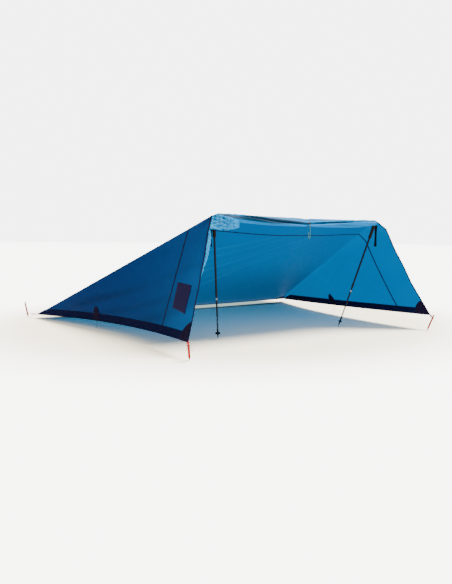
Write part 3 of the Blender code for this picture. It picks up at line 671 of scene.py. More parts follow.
def scuff_group():
    """Uneven dye or rubbed finish: a broad cloudiness and fine specks."""
    group, source, result = new_group(
        "Scuffs",
        [("Colour", "NodeSocketColor", (0.5, 0.5, 0.5, 1.0)), ("Place", "NodeSocketVector", None),
         ("Cloud Size", "NodeSocketFloat", 0.2), ("Amount", "NodeSocketFloat", 0.15),
         ("Rubbed", "NodeSocketColor", (0.8, 0.8, 0.8, 1.0)), ("Rub Amount", "NodeSocketFloat", 0.1)],
        [("Colour", "NodeSocketColor"), ("Cloud", "NodeSocketFloat"), ("Rub", "NodeSocketFloat")])
    if source is None:
        return group
    scaled = group.nodes.new("ShaderNodeVectorMath")
    scaled.operation = "SCALE"
    group.links.new(source.outputs["Place"], scaled.inputs[0])
    group.links.new(maths(group, "DIVIDE", 1.0, source.outputs["Cloud Size"]), scaled.inputs["Scale"])
    cloud = noise_at(group, scaled.outputs[0], 1.0, 5.0)
    specks = noise_at(group, scaled.outputs[0], 14.0, 3.0, 0.7)
    shade = maths(group, "MULTIPLY", maths(group, "SUBTRACT", cloud, 0.5), 2.0)
    shade = maths(group, "ADD", 1.0, maths(group, "MULTIPLY", shade, source.outputs["Amount"]))
    scale = group.nodes.new("ShaderNodeVectorMath")
    scale.operation = "SCALE"
    group.links.new(source.outputs["Colour"], scale.inputs[0])
    group.links.new(shade, scale.inputs["Scale"])
    rub = maths(group, "MULTIPLY", maths(group, "SUBTRACT", specks, 0.60), 8.0, clamp=True)
    rub = maths(group, "MULTIPLY", rub, source.outputs["Rub Amount"])
    group.links.new(mixed(group, rub, scale.outputs[0], source.outputs["Rubbed"]),
                    result.inputs["Colour"])
    group.links.new(cloud, result.inputs["Cloud"])
    group.links.new(rub, result.inputs["Rub"])
    return group


class Finish:
    """A material under construction: its tree, its Principled shader and its usual inputs."""

    def __init__(self, name):
        self.material = bpy.data.materials.new(name)
        self.material.use_nodes = True
        self.tree = self.material.node_tree
        self.shader = self.tree.nodes["Principled BSDF"]
        self.output = self.tree.nodes["Material Output"]
        place = self.tree.nodes.new("ShaderNodeTexCoord")
        self.place, self.cut = place.outputs["Object"], place.outputs["UV"]

    def use(self, group, **values):
        made = self.tree.nodes.new("ShaderNodeGroup")
        made.node_tree = group
        for label, value in values.items():
            feed(self.tree, made.inputs[label.replace("_", " ")], value)
        return made.outputs

    def maths(self, operation, *values, clamp=False):
        return maths(self.tree, operation, *values, clamp=clamp)

    def mixed(self, factor, first, second):
        return mixed(self.tree, factor, first, second)

    def uneven(self, worn, base, spread):
        """A roughness that follows the cloudiness of the wear."""
        return self.maths("ADD", base, self.maths("MULTIPLY", worn["Cloud"], spread))

    def scuffed(self, colour, cloud=0.2, amount=0.15, rubbed=(0.8, 0.8, 0.8), rub=0.08):
        return self.use(scuff_group(), Colour=colour, Place=self.place, Cloud_Size=cloud, Amount=amount,
                        Rubbed=rubbed, Rub_Amount=rub)

    def settings(self, **values):
        for label, value in values.items():
            feed(self.tree, self.shader.inputs[label.replace("_", " ")], value)

    def bump(self, height, distance, strength=1.0):
        made = self.tree.nodes.new("ShaderNodeBump")
        made.inputs["Strength"].default_value = strength
        made.inputs["Distance"].default_value = distance
        self.tree.links.new(height, made.inputs["Height"])
        self.tree.links.new(made.outputs[0], self.shader.inputs["Normal"])
        return made.outputs[0]

    def let_light_through(self, colour, amount, normal):
        """Mixes in light that comes through from behind."""
        glow = self.tree.nodes.new("ShaderNodeBsdfTranslucent")
        feed(self.tree, glow.inputs["Color"], colour)
        self.tree.links.new(normal, glow.inputs["Normal"])
        both = self.tree.nodes.new("ShaderNodeMixShader")
        both.inputs[0].default_value = amount
        self.tree.links.new(self.shader.outputs[0], both.inputs[1])
        self.tree.links.new(glow.outputs[0], both.inputs[2])
        self.tree.links.new(both.outputs[0], self.output.inputs["Surface"])


def finish(name):
    """The named material, made the first time it is asked for."""
    found = bpy.data.materials.get(name)
    return found or MAKERS[name](name)


def ripstop_finish(name, colour, glow_colour, glow, rough=0.42, gloss=0.10, shade=0.75,
                   highlight_share=0.12):
    """Dyed ripstop that daylight comes through; marked places get painted shade and marked creases painted
    highlights, in the reflected and in the transmitted colour.
    """
    cloth = bpy.context.scene.shelter_cloth
    made = Finish(name)
    marks = made.tree.nodes.new("ShaderNodeUVMap")
    marks.uv_map = "marks"
    marked = split_axes(made.tree, marks.outputs[0])
    # deep is the painted shade depth and bright the painted highlight strength, read from the marks layer
    deep = made.maths("MULTIPLY", marked[0], shade, clamp=True)
    bright = made.maths("MULTIPLY", marked[1], 1.0, clamp=True)
    weave = made.use(ripstop_group(), Cut=made.cut, Cell=cloth.ripstop_cell, Thread_Share=0.07)
    dyed = made.scuffed(colour, cloud=0.6, amount=0.12, rubbed=tinted(colour, 1.6), rub=0.2)
    threads_and_painted_light = made.mixed(made.maths("MULTIPLY", weave["Threads"], 0.22), dyed["Colour"],
                          tinted(colour, 0.6))
    crumple = noise_at(made.tree, made.place, 22.0, 5.0, 0.6)
    height = made.maths("ADD", made.maths("MULTIPLY", weave["Height"], 0.06), crumple)
    normal = made.bump(height, 0.0022, 0.55)
    # painted shade: marked places take a much darker copy of the dye
    threads_and_painted_light = made.mixed(deep, threads_and_painted_light, tinted(colour, 0.12))
    # painted highlight: marked creases take a paler, greener colour
    threads_and_painted_light = made.mixed(made.maths("MULTIPLY", bright, highlight_share), threads_and_painted_light,
                          (0.06, min(1.0, colour[1] * 2.2), min(1.0, colour[2] * 1.6)))
    made.settings(Base_Color=threads_and_painted_light, Specular_IOR_Level=gloss, Roughness=made.uneven(dyed, rough, 0.16))
    glowing = made.use(scuff_group(), Colour=glow_colour, Place=made.place, Cloud_Size=0.6, Amount=0.10,
                       Rubbed=glow_colour, Rub_Amount=0.0)
    # the same painted shade and painted highlight in the colour that comes through the cloth
    lit = made.mixed(deep, glowing["Colour"], tinted(glow_colour, 0.24))
    lit = made.mixed(bright, lit, (0.05, min(1.0, glow_colour[1] * 1.8), min(1.0, glow_colour[2] * 1.5)))
    made.let_light_through(lit, glow, normal)
    return made.material


def tape_finish(name, colour, offset, pitch=0.004, glow=0.0, rib=0.0012, thread=None):
    """Ribbed tape with two rows of stitches, each offset metres from its middle line."""
    made = Finish(name)
    weave = made.use(webbing_group(), Cut=made.cut, Rib=rib)
    sewn = made.use(stitch_group(), Cut=made.cut, Offset=offset, Pitch=pitch, Width=0.0006)
    worn = made.scuffed(colour, cloud=0.08, amount=0.3, rubbed=tinted(colour, 2.5, 0.002), rub=0.3)
    woven = made.mixed(made.maths("MULTIPLY", weave["Shade"], 0.3), worn["Colour"], tinted(colour, 0.45))
    thread = tuple(thread or cloth_settings().thread_colour)
    stitched = made.mixed(sewn["Mask"], woven, thread)
    height = made.maths("ADD", weave["Height"], made.maths("MULTIPLY", sewn["Height"], 3.0))
    normal = made.bump(height, 0.0003, 0.8)
    made.settings(Base_Color=stitched, Specular_IOR_Level=0.08, Roughness=made.uneven(worn, 0.7, 0.15))
    if glow:
        made.let_light_through(tinted(colour, 4), glow, normal)
    return made.material


def label_finish(name):
    """A satin-woven label with a plain darker border."""
    colour = tuple(cloth_settings().label_colour)
    made = Finish(name)
    split = split_axes(made.tree, made.cut)
    slanted = made.maths("ADD", split[0], split[1])
    twill = made.maths("SINE", made.maths("MULTIPLY", slanted, math.tau / 0.0011))
    edge_x = made.maths("SUBTRACT", LABEL_SIZE[1] / 2, made.maths("ABSOLUTE", split[0]))
    edge_y = made.maths("SUBTRACT", LABEL_SIZE[0] / 2, made.maths("ABSOLUTE", split[1]))
    from_border = made.maths("SUBTRACT", made.maths("MINIMUM", edge_x, edge_y), LABEL_BORDER)
    away = made.maths("DIVIDE", made.maths("ABSOLUTE", from_border), 0.0012)
    line = made.maths("SUBTRACT", 1.0, away, clamp=True)
    worn = made.scuffed(colour, cloud=0.05, amount=0.25, rubbed=tinted(colour, 3, 0.002), rub=0.25)
    bordered = made.mixed(made.maths("MULTIPLY", line, 0.6), worn["Colour"], (0.03, 0.035, 0.09))
    made.bump(made.maths("ADD", made.maths("MULTIPLY", twill, 0.3), line), 0.0003, 0.7)
    made.settings(Base_Color=bordered, Specular_IOR_Level=0.12, Roughness=made.uneven(worn, 0.55, 0.15))
    return made.material


def braid_finish(name, colour, fleck, pitch=0.005, fleck_share=0.35):
    """Braided cord: crossing strands and now and then a coloured fleck."""
    made = Finish(name)
    split = split_axes(made.tree, made.cut)
    along = made.maths("DIVIDE", split[0], pitch)
    turn = made.maths("MULTIPLY", split[1], 1.0 / (math.tau * CORD_RADIUS))
    waves = []
    for way in ("ADD", "SUBTRACT"):
        slant = made.maths(way, made.maths("MULTIPLY", along, 3.0), made.maths("MULTIPLY", turn, 4.0))
        waves.append(made.maths("SINE", made.maths("MULTIPLY", slant, math.tau)))
    strands = made.maths("MAXIMUM", *waves)
    slow = made.maths("FRACT", made.maths("ADD", made.maths("MULTIPLY", along, 0.25), turn))
    flecks = made.maths("MULTIPLY", made.maths("SUBTRACT", fleck_share, slow), 9.0, clamp=True)
    worn = made.scuffed(colour, cloud=0.02, amount=0.2, rubbed=tinted(colour, 0.4), rub=0.25)
    between = made.maths("SUBTRACT", 1.0, strands, clamp=True)
    shaded = made.mixed(made.maths("MULTIPLY", between, 0.35), worn["Colour"], tinted(colour, 0.3))
    made.bump(strands, 0.0003, 0.7)
    made.settings(Base_Color=made.mixed(flecks, shaded, fleck), Roughness=made.uneven(worn, 0.6, 0.2),
                  Sheen_Weight=0.1)
    return made.material


def metal_finish(name, colour, rub, metallic, rough=0.32):
    """Anodised or bright metal with fine rubbing and a little dust."""
    made = Finish(name)
    worn = made.scuffed(colour, cloud=0.03, amount=0.12, rubbed=(0.7, 0.7, 0.72), rub=rub)
    made.bump(noise_at(made.tree, made.place, 900.0, 2.0), 0.0002, 0.25)
    made.settings(Base_Color=worn["Colour"], Metallic=metallic, Roughness=made.uneven(worn, rough, 0.2))
    return made.material


def moulded_finish(name, colour):
    """Moulded plastic with a fine spark-eroded grain and rubbed high spots."""
    made = Finish(name)
    worn = made.scuffed(colour, cloud=0.02, amount=0.25, rubbed=(0.04, 0.04, 0.04), rub=0.3)
    made.bump(noise_at(made.tree, made.place, 2600.0, 2.0), 0.00015, 0.5)
    made.settings(Base_Color=worn["Colour"], Specular_IOR_Level=0.2, Roughness=made.uneven(worn, 0.5, 0.18))
    return made.material


def pole_axis(side):
    """Pivot and downward direction of a pole."""
    pivot = ridge_frame(side * PIVOT[0], 0.0, RIDGE_HEIGHT - PIVOT[1])
    foot = ridge_frame(side * POLE_FOOT[0], POLE_FOOT[1], 0.0)
    return pivot, (foot - pivot).normalized()


def along_pole(made, side):
    """A socket with the distance down the pole from its pivot."""
    pivot, direction = pole_axis(side)
    node = made.tree.nodes.new("ShaderNodeVectorMath")
    node.operation = "DOT_PRODUCT"
    made.tree.links.new(made.place, node.inputs[0])
    node.inputs[1].default_value = direction
    return made.maths("SUBTRACT", node.outputs["Value"], pivot.dot(direction))


def rings(made, distance, places):
    """A mask of rings round a tube; places are (middle, half width)."""
    total = None
    for middle, half in places:
        away = made.maths("ABSOLUTE", made.maths("SUBTRACT", distance, middle))
        ring = made.maths("MULTIPLY", made.maths("SUBTRACT", half, away), 4000.0, clamp=True)
        total = ring if total is None else made.maths("MAXIMUM", total, ring)
    return total


def tube_finish(name):
    """Lacquered tube with pale limit rings and light scratches from the twist locks."""
    made = Finish(name)
    distance = along_pole(made, SIDES[name.rsplit(" ", 1)[1].lower()])
    worn = made.scuffed(tuple(pole_settings().tube_colour), cloud=0.05, amount=0.3,
                        rubbed=(0.03, 0.03, 0.035), rub=0.35)
    pale = rings(made, distance, ((0.690, 0.0016), (0.699, 0.0045), (0.708, 0.0016), (0.925, 0.0016)))
    marked = made.mixed(made.maths("MULTIPLY", pale, 0.75), worn["Colour"],
                        tuple(pole_settings().band_colour))
    made.bump(noise_at(made.tree, made.place, 1500.0, 2.0), 0.0001, 0.2)
    made.settings(Base_Color=marked, Metallic=0.1, Coat_Weight=0.06, Coat_Roughness=0.25,
                  Specular_IOR_Level=0.15, Roughness=made.uneven(worn, 0.38, 0.2))
    return made.material


def collar_finish(name):
    """Ribbed moulded collar."""
    made = Finish(name)
    distance = along_pole(made, SIDES[name.rsplit(" ", 1)[1].lower()])
    worn = made.scuffed(tuple(pole_settings().plastic_colour), cloud=0.02, amount=0.3,
                        rubbed=(0.04, 0.04, 0.04), rub=0.3)
    ribs = made.maths("SINE", made.maths("MULTIPLY", distance, math.tau / 0.004))
    made.bump(ribs, 0.0006, 0.8)
    made.settings(Base_Color=worn["Colour"], Specular_IOR_Level=0.2, Roughness=made.uneven(worn, 0.45, 0.2))
    return made.material


def foam_finish(name):
    """Closed-cell foam with fine pores, darkened by handling."""
    colour = tuple(pole_settings().grip_colour)
    made = Finish(name)
    pores = made.tree.nodes.new("ShaderNodeTexVoronoi")
    pores.inputs["Scale"].default_value = 420.0
    made.tree.links.new(made.place, pores.inputs["Vector"])
    worn = made.scuffed(colour, cloud=0.03, amount=0.45, rubbed=(0.09, 0.060, 0.040), rub=0.4)
    pits = made.maths("MULTIPLY", pores.outputs["Distance"], 2.0, clamp=True)
    made.bump(pits, 0.0004, 0.7)
    # painted shade: the colour is darker in the pores
    made.settings(Base_Color=made.mixed(pits, tinted(colour, 0.4), worn["Colour"]),
                  Roughness=made.uneven(worn, 0.78, 0.15), Specular_IOR_Level=0.15)
    return made.material


def floor_finish(name):
    """Matt paper; for camera rays its colour is painted brighter, more so away from the shelter, with a
    painted teal shadow in a soft zone along and behind the rear hem.
    """
    made = Finish(name)
    tree = made.tree
    x, y, _ = split_axes(tree, made.place)

    def eased(value, low, high):
        node = tree.nodes.new("ShaderNodeMapRange")
        node.interpolation_type = "SMOOTHSTEP"
        tree.links.new(value, node.inputs["Value"])
        node.inputs["From Min"].default_value, node.inputs["From Max"].default_value = low, high
        return node.outputs["Result"]

    across = maths(tree, "DIVIDE", x, FLOOR_ZONE[0])
    back = maths(tree, "DIVIDE", maths(tree, "SUBTRACT", y, FLOOR_ZONE_MIDDLE), FLOOR_ZONE[1])
    reach = maths(tree, "SQRT", maths(tree, "ADD", maths(tree, "MULTIPLY", across, across),
                                      maths(tree, "MULTIPLY", back, back)))
    far = eased(reach, 0.78, 1.35)
    # painted teal shadow in a soft zone along and behind the rear hem
    behind = maths(tree, "MULTIPLY", eased(y, 1.10, 1.24), maths(
        tree, "SUBTRACT", 1.0, eased(y, 1.60, 2.05)))
    behind = maths(tree, "MULTIPLY", behind, maths(
        tree, "SUBTRACT", 1.0, eased(maths(tree, "ABSOLUTE", x), 1.35, 1.80)))
    # painted brightness for camera rays: about twice the paper's colour near the shelter, rising to 3.2 away
    # from it
    pale = mixed(tree, far, (1.9, 1.75, 1.35), (3.2, 3.2, 3.2))
    shaded = mixed(tree, maths(tree, "MULTIPLY", behind, 0.93), pale, (0.10, 0.22, 0.24))
    path = tree.nodes.new("ShaderNodeLightPath")
    # only camera rays see the painted brightness and painted shadow; other rays see the plain paper
    made.settings(Base_Color=mixed(tree, path.outputs["Is Camera Ray"], (0.86, 0.86, 0.86), shaded),
                  Roughness=0.9, Specular_IOR_Level=0.1)
    return made.material


def cloth_settings():
    return bpy.context.scene.shelter_cloth


def tie_settings():
    return bpy.context.scene.shelter_ties


def pole_settings():
    return bpy.context.scene.shelter_poles


MAKERS = {
    "Blue ripstop": lambda name: ripstop_finish(name, tuple(cloth_settings().sheet_colour),
                                                tuple(cloth_settings().glow_colour), cloth_settings().glow),
    # the rolled cloth takes deep painted shade and strong painted highlights
    "Rolled ripstop": lambda name: ripstop_finish(name, tuple(cloth_settings().brow_colour),
                                                  tuple(cloth_settings().brow_colour), 0.30, rough=0.34,
                                                  gloss=0.12, shade=0.95, highlight_share=0.9),
    "Hem band": lambda name: tape_finish(name, tuple(cloth_settings().hem_colour), offset=0.032, glow=0.25),
    "Rear hem band": lambda name: tape_finish(name, tuple(cloth_settings().sheet_colour), offset=0.011,
                                              glow=0.3),
    "Seam tape": lambda name: tape_finish(name, tuple(cloth_settings().tape_colour), offset=0.0045),
    "Edge binding": lambda name: tape_finish(name, tuple(cloth_settings().tape_colour), offset=0.003),
    "Patch webbing": lambda name: tape_finish(name, tuple(cloth_settings().tape_colour), offset=0.0,
                                              pitch=0.005, rib=0.0016),
    "Woven label": label_finish,
    "Corner webbing": lambda name: tape_finish(name, tuple(tie_settings().webbing_colour), offset=0.004,
                                               thread=(0.02, 0.06, 0.03)),
    "Strap webbing": lambda name: tape_finish(name, tuple(pole_settings().strap_colour),
                                              offset=0.008, rib=0.0014),
    "Corner cord": lambda name: braid_finish(name, tuple(tie_settings().cord_colour),
                                             tuple(tie_settings().tracer_colour)),
    "Tie-out cord": lambda name: braid_finish(name, tuple(tie_settings().tie_out_colour),
                                              tuple(tie_settings().cord_colour), fleck_share=0.15),
    "Elastic": lambda name: braid_finish(name, tuple(tie_settings().elastic_colour),
                                         (0.02, 0.05, 0.02), fleck_share=0.12, pitch=0.004),
    "Red anodised": lambda name: metal_finish(name, tuple(tie_settings().stake_colour), rub=0.18,
                                              metallic=0.55),
    "Hardened tip": lambda name: metal_finish(name, (0.42, 0.42, 0.43), rough=0.28, rub=0.2, metallic=1.0),
    "Moulded black": lambda name: moulded_finish(name, tuple(pole_settings().plastic_colour)),
    "Pole tube Left": tube_finish,
    "Pole tube Right": tube_finish,
    "Pole collar Left": collar_finish,
    "Pole collar Right": collar_finish,
    "Grip foam": foam_finish,
    "Floor paper": floor_finish,
}


def dress(node, name):
    """Gives a solid-model node its finish."""
    piece = bpy.data.objects[node]
    material = finish(name)
    if not piece.material_slots:
        piece.data.materials.append(material)
    for slot in piece.material_slots:
        slot.material = material


# ---- cords ----
def stake_axis(corner):
    place = STAKE_PLACES[corner]
    outward, away = place["beyond"]
    lean_x, lean_y = place["lean"]
    level = math.hypot(lean_x, lean_y)
    direction = Vector((lean_x, lean_y, math.sqrt(STAKE_LENGTH ** 2 - level ** 2))).normalized()
    side = SIDES[corner.split("_")[1]]
    _, front, rear = corners(side)
    tip = (front + Vector((side * outward, -away, 0)) if corner.startswith("front")
           else rear + Vector((side * outward, away, 0)))
    tip.z = STAKE_FLANGE * 0.15 * level / STAKE_LENGTH
    return tip, direction


def tie_frame(corner):
    """Where a corner's tie starts, its pull direction, sideways and upward, and its length."""
    _, front, rear = corners(SIDES[corner.split("_")[1]])
    start = front if corner.startswith("front") else rear
    tip, direction = stake_axis(corner)
    loop = tip + direction * (STAKE_PLACES[corner]["loop_height"] / direction.z)
    pull = (loop - start).normalized()
    sideways = Vector((0, 0, 1)).cross(pull).normalized()
    return start, pull, sideways, pull.cross(sideways), (loop - start).length


def tie_places():
    """Distances out from the corner: webbing loop's end, buckle's cord slot and buckle's end."""
    loop_end = 0.003 + WEBBING_INNER[0] + 2 * WEBBING_THICKNESS
    bar = loop_end - WEBBING_THICKNESS - 0.001 - BUCKLE_BAR
    second_slot = bar + BUCKLE_BAR + BUCKLE_SLOT[0] + BUCKLE_BAR
    return loop_end, second_slot + BUCKLE_SLOT[0] / 2, second_slot + BUCKLE_SLOT[0] + BUCKLE_BAR


def guy_cord_points(corner):
    start, pull, sideways, up, distance = tie_frame(corner)
    _, slot, end = tie_places()

    def at(out, aside, above):
        return start + pull * out + sideways * aside + up * above

    lift = BUCKLE_THICKNESS / 2 + CORD_RADIUS + 0.0015
    leg = 0.004
    points = [at(slot, -leg, -0.008), at(slot, -leg, 0.0), at(slot + 0.002, -leg, lift),
              at(end, -leg, lift + 0.0003), at(end + 0.006, -leg, 0.002)]
    for angle in steps(130, -130, 8):
        turn = math.radians(angle)
        points.append(at(distance + LOOP_RADIUS * math.cos(turn), -LOOP_RADIUS * math.sin(turn), 0.0))
    points += [at(end + 0.006, leg, 0.002), at(end, leg, lift + 0.0003), at(slot + 0.002, leg, lift),
               at(slot, leg, 0.0), at(slot, leg + 0.001, -0.008)]
    last = points[-1]
    drop = min(TAIL_LENGTH, last.z - 0.008)
    away = (pull * 0.4 + sideways * 0.9).normalized()
    for part in (0.35, 0.7, 1.0):
        points.append(last + away * TAIL_LENGTH * part * 0.55 - Vector((0, 0, drop * part * 0.8)))
    return points


def tie_out_points(side):
    middle = MID_HEM_SHARE[side]
    base = hem_point(side, middle) - Vector((0, 0, 0.004))
    along = (hem_point(side, middle + 0.01) - hem_point(side, middle - 0.01)).normalized()
    drop = min(TIE_OUT_DROP, base.z - 0.006)
    return [base + along * spread * TIE_OUT_SPREAD - Vector((0, 0, depth * drop))
            for spread, depth in ((-0.35, 0.0), (-0.8, 0.30), (-1.0, 0.65), (-0.6, 0.93), (0.0, 1.0),
                                  (0.6, 0.93), (1.0, 0.65), (0.8, 0.30), (0.35, 0.0))]


def brow_section(x):
    """Centre, long direction and long half axis of the rolled flap at one place along the ridge."""
    out = min(abs(x) / BROW_HALF, 1.0)
    long_half = BROW_LONG_END + (BROW_LONG_MIDDLE - BROW_LONG_END) * (1 - out ** 4)
    downward = Vector((0, -math.sin(BROW_LEAN), -math.cos(BROW_LEAN)))
    hang = RIDGE_SAG * (1 - (x / RIDGE_HALF) ** 2)
    top = ridge_frame(x, -BROW_FORWARD, RIDGE_HEIGHT - 0.006 - hang)
    return top + downward * long_half, downward, long_half


def brow_ring_point(x, angle, grow=0.0):
    centre, downward, long_half = brow_section(x)
    forward = Vector((0, downward.z, -downward.y))
    return (centre + downward * (long_half + grow) * math.cos(angle)
            + forward * (BROW_THICK + grow) * math.sin(angle))


def brow_tie_points():
    clear = TIE_RADIUS + 0.002
    points = []
    for step in range(17):
        angle = math.radians(-20 - 330 * step / 16)
        points.append(brow_ring_point(TIE_X, angle, clear) + Vector((0.010 * step / 16, 0, 0)))
    last = points[-1]
    for x, drop in ((0.011, 0.030), (0.012, 0.070), (0.009, 0.094), (0.002, TIE_HANG),
                    (-0.005, 0.094), (-0.008, 0.070), (-0.006, 0.040)):
        points.append(last + Vector((x - 0.010, -0.002, -drop)))
    return points


def free_cord(name, points, radius, material, node):
    route = smooth_route(points, CORD_SPACING)
    piece = add_piece(name, tube_mesh(route, radius), material)
    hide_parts(node)
    tuple(route[0])
    round(route_length(route), 3)
    [tuple(p) for p in route]
    return piece


def knot_mesh(place, direction, radius):
    """A small overhand knot drawn tight: a short trefoil of cord round its own standing part."""
    turn = Vector((0, 0, 1)).rotation_difference(direction)
    path = []
    for step in range(25):
        t = math.tau * step / 24
        point = Vector((math.sin(t) + 2 * math.sin(2 * t), math.cos(t) - 2 * math.cos(2 * t),
                        -1.6 * math.sin(3 * t))) * radius * 0.72
        path.append(place + turn @ point)
    return tube_mesh(path, radius * 0.95, sides=8, capped=False)


class SHELTER_OT_camera(bpy.types.Operator):
    """Place the camera low in front of the open side, a little to the left"""
    bl_idname = "shelter.camera"
    bl_label = "Camera"

    def execute(self, context):
        stage = context.scene.shelter_stage
        data = bpy.data.cameras.new("shelter_camera")
        data.lens, data.sensor_width = 36.05, 36.0
        camera = bpy.data.objects.new("shelter_camera", data)
        context.scene.collection.objects.link(camera)
        target = Vector((-0.30, 0.80 - RIDGE_TO_MIDDLE, 0.36))
        back = Vector((math.sin(stage.azimuth) * math.cos(stage.elevation),
                       -math.cos(stage.azimuth) * math.cos(stage.elevation), math.sin(stage.elevation)))
        camera.location = target + back * stage.distance
        roll = Matrix.Rotation(math.radians(0.59), 3, "Z")
        camera.rotation_euler = ((-back).to_track_quat("-Z", "Y").to_matrix() @ roll).to_euler()
        data.clip_start, data.clip_end = 0.05, 200.0
        context.scene.camera = camera
        return {"FINISHED"}


class SHELTER_OT_cords(bpy.types.Operator):
    """Lay the corner cords, the side hems' loops and the flap's elastic"""
    bl_idname = "shelter.cords"
    bl_label = "Cords"

    def execute(self, context):
        for corner in CORNERS:
            points = guy_cord_points(corner)
            end = points[-1]
            knot = add_piece("cord_knot_" + corner, knot_mesh(
                end, (end - points[-2]).normalized(), CORD_RADIUS), "Corner cord")
            free_cord("corner_cord_" + corner, points, CORD_RADIUS, "Corner cord", "guy_cord_" + corner)
        for word, side in SIDES.items():
            free_cord("hem_loop_" + word, tie_out_points(side), CORD_RADIUS, "Tie-out cord",
                      "tie_out_cord_" + word)
        free_cord("flap_elastic", brow_tie_points(), TIE_RADIUS, "Elastic", "brow_tie")
        return {"FINISHED"}


def sheet_painted_light(lane, along):
    """Painted shade and painted crease highlights of the blue sheet."""
    run = along * CREASE_LENGTH
    if abs(lane) > 1:
        side = math.copysign(1, lane)
        depth = wing_depth(side, min(along, 1.0))
        across = (abs(lane) - 1) * depth
        if side > 0:
            return 0.0, 0.0
        # painted shade in streaks over the left wing, deeper away from its crease
        dark = 0.45 * smooth(noise.noise(Vector((across / 0.12 + run / 0.55, run / 1.6, 3.3))), -0.1, 0.5)
        return dark * smooth(across, 0.02, 0.2), 0.0
    across = lane * (RIDGE_HALF + (REAR_HALF - RIDGE_HALF) * along)
    # painted shade on the roof, deeper towards the rear hem and towards the right crease
    low = smooth(along, 0.30, 0.80) * (0.55 + 0.45 * smooth(lane, -0.8, 0.9)) * smooth(1.0 - lane, 0.0, 0.04)
    # painted highlights along the creases that fan from the right pole
    fan = math.atan2(RIDGE_HALF - across, run + 0.25)
    lines = 0.0
    for turn, width, start, end in ROOF_CREASE_HIGHLIGHTS:
        near = max(0.0, 1 - abs(fan - turn - 0.012 * math.sin(run * 5 + turn * 40)) / width)
        lines += near ** 1.5 * smooth(run, start, start + 0.25) * (1 - smooth(run, end - 0.3, end))
    return 0.72 * low, min(1.0, 0.55 * lines)


class SHELTER_OT_sheet(bpy.types.Operator):
    """Make the one blue sheet: roof, both wings and the folds pulled into it"""
    bl_idname = "shelter.sheet"
    bl_label = "Sheet"

    def execute(self, context):
        cloth = context.scene.shelter_cloth
        count = 44
        wing = [1 + t for t in steps(0, 1, count)]
        lanes = [-lane for lane in reversed(wing)] + steps(-1, 1, cloth.lanes)[1:-1] + wing
        rows, flat, shades = [], [], []
        for t in steps(0, 1, cloth.rows):
            row, marks, shade = [], [], []
            for lane in lanes:
                along = min(rear_edge(lane) * t, 0.9985)
                row.append(surface(lane, along))
                half = RIDGE_HALF + (REAR_HALF - RIDGE_HALF) * along
                past = max(abs(lane) - 1, 0) * wing_depth(math.copysign(1, lane), along)
                marks.append((along * CREASE_LENGTH, math.copysign(
                    min(abs(lane), 1) * half + past, lane)))
                shade.append(sheet_painted_light(lane, along))
            rows.append(row)
            flat.append(marks)
            shades.append(shade)
        mesh = grid_mesh(rows, flat, merge=0.00001, marks=shades)
        sheet = add_piece("blue_sheet", mesh, "Blue ripstop")
        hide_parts("main_fly", "front_strip")
        return {"FINISHED"}


def band_stations(lanes, start, end, count):
    """Rows of places across a band that runs along the lanes, from start to end shares."""
    return [[(lane, along) for along in steps(start(lane), end(lane), count)] for lane in lanes]


class SHELTER_OT_seam(bpy.types.Operator):
    """Sew the dark felled seam across the sheet, from side hem to side hem"""
    bl_idname = "shelter.seam"
    bl_label = "Seam"

    def execute(self, context):
        lanes = steps(-1.97, -1, 60) + steps(-1, 1, 110)[1:-1] + steps(1, 1.97, 60)
        mesh = tape_mesh(band_stations(
            lanes, lambda lane: seam_place(lane, -SEAM_WIDTH / 2),
            lambda lane: seam_place(lane, SEAM_WIDTH / 2), 4), 0.0013)
        cover("felled_seam", mesh, "Seam tape", "front_seam")
        return {"FINISHED"}


class SHELTER_OT_hems(bpy.types.Operator):
    """Fold the hem bands and the front bindings round the sheet's edges"""
    bl_idname = "shelter.hems"
    bl_label = "Hems and Bindings"

    def execute(self, context):
        for word, side in SIDES.items():
            alongs = steps(0.0, 0.05, 12)[:-1] + steps(0.05, 0.9, 120)[:-1] + steps(0.9, 0.985, 24)
            stations = [[(side * (1 + down), along) for down in steps(hem_inner(side, along), 1.0015, 6)]
                        for along in alongs]
            cover("side_band_" + word, tape_mesh(stations, 0.0015), "Hem band", "side_hem_" + word)
            across = steps(-share(0.0012), share(BINDING_WIDTH), 4)
            stations = [[(side * (1 + down), along) for along in across] for down in steps(0.0, 1.0, 130)]
            cover("edge_binding_" + word, tape_mesh(stations, 0.0013), "Edge binding",
                  "front_binding_" + word)
        stations = [[(lane, rear_edge(lane) - share(depth)) for depth in steps(REAR_HEM_WIDTH, -0.001, 4)]
                    for lane in steps(-0.985, 0.985, 130)]
        cover("rear_band", tape_mesh(stations, 0.0013), "Rear hem band", "rear_hem")
        return {"FINISHED"}


def sew_patch(name, lanes, starts, ends, count, node):
    """Sews a patch on both faces of the cloth between two limits for each lane."""
    mesh = tape_mesh(band_stations(lanes, starts, ends, count), PATCH_LIFT + 0.0012, PATCH_LIFT)
    cover(name, mesh, "Patch webbing", node)


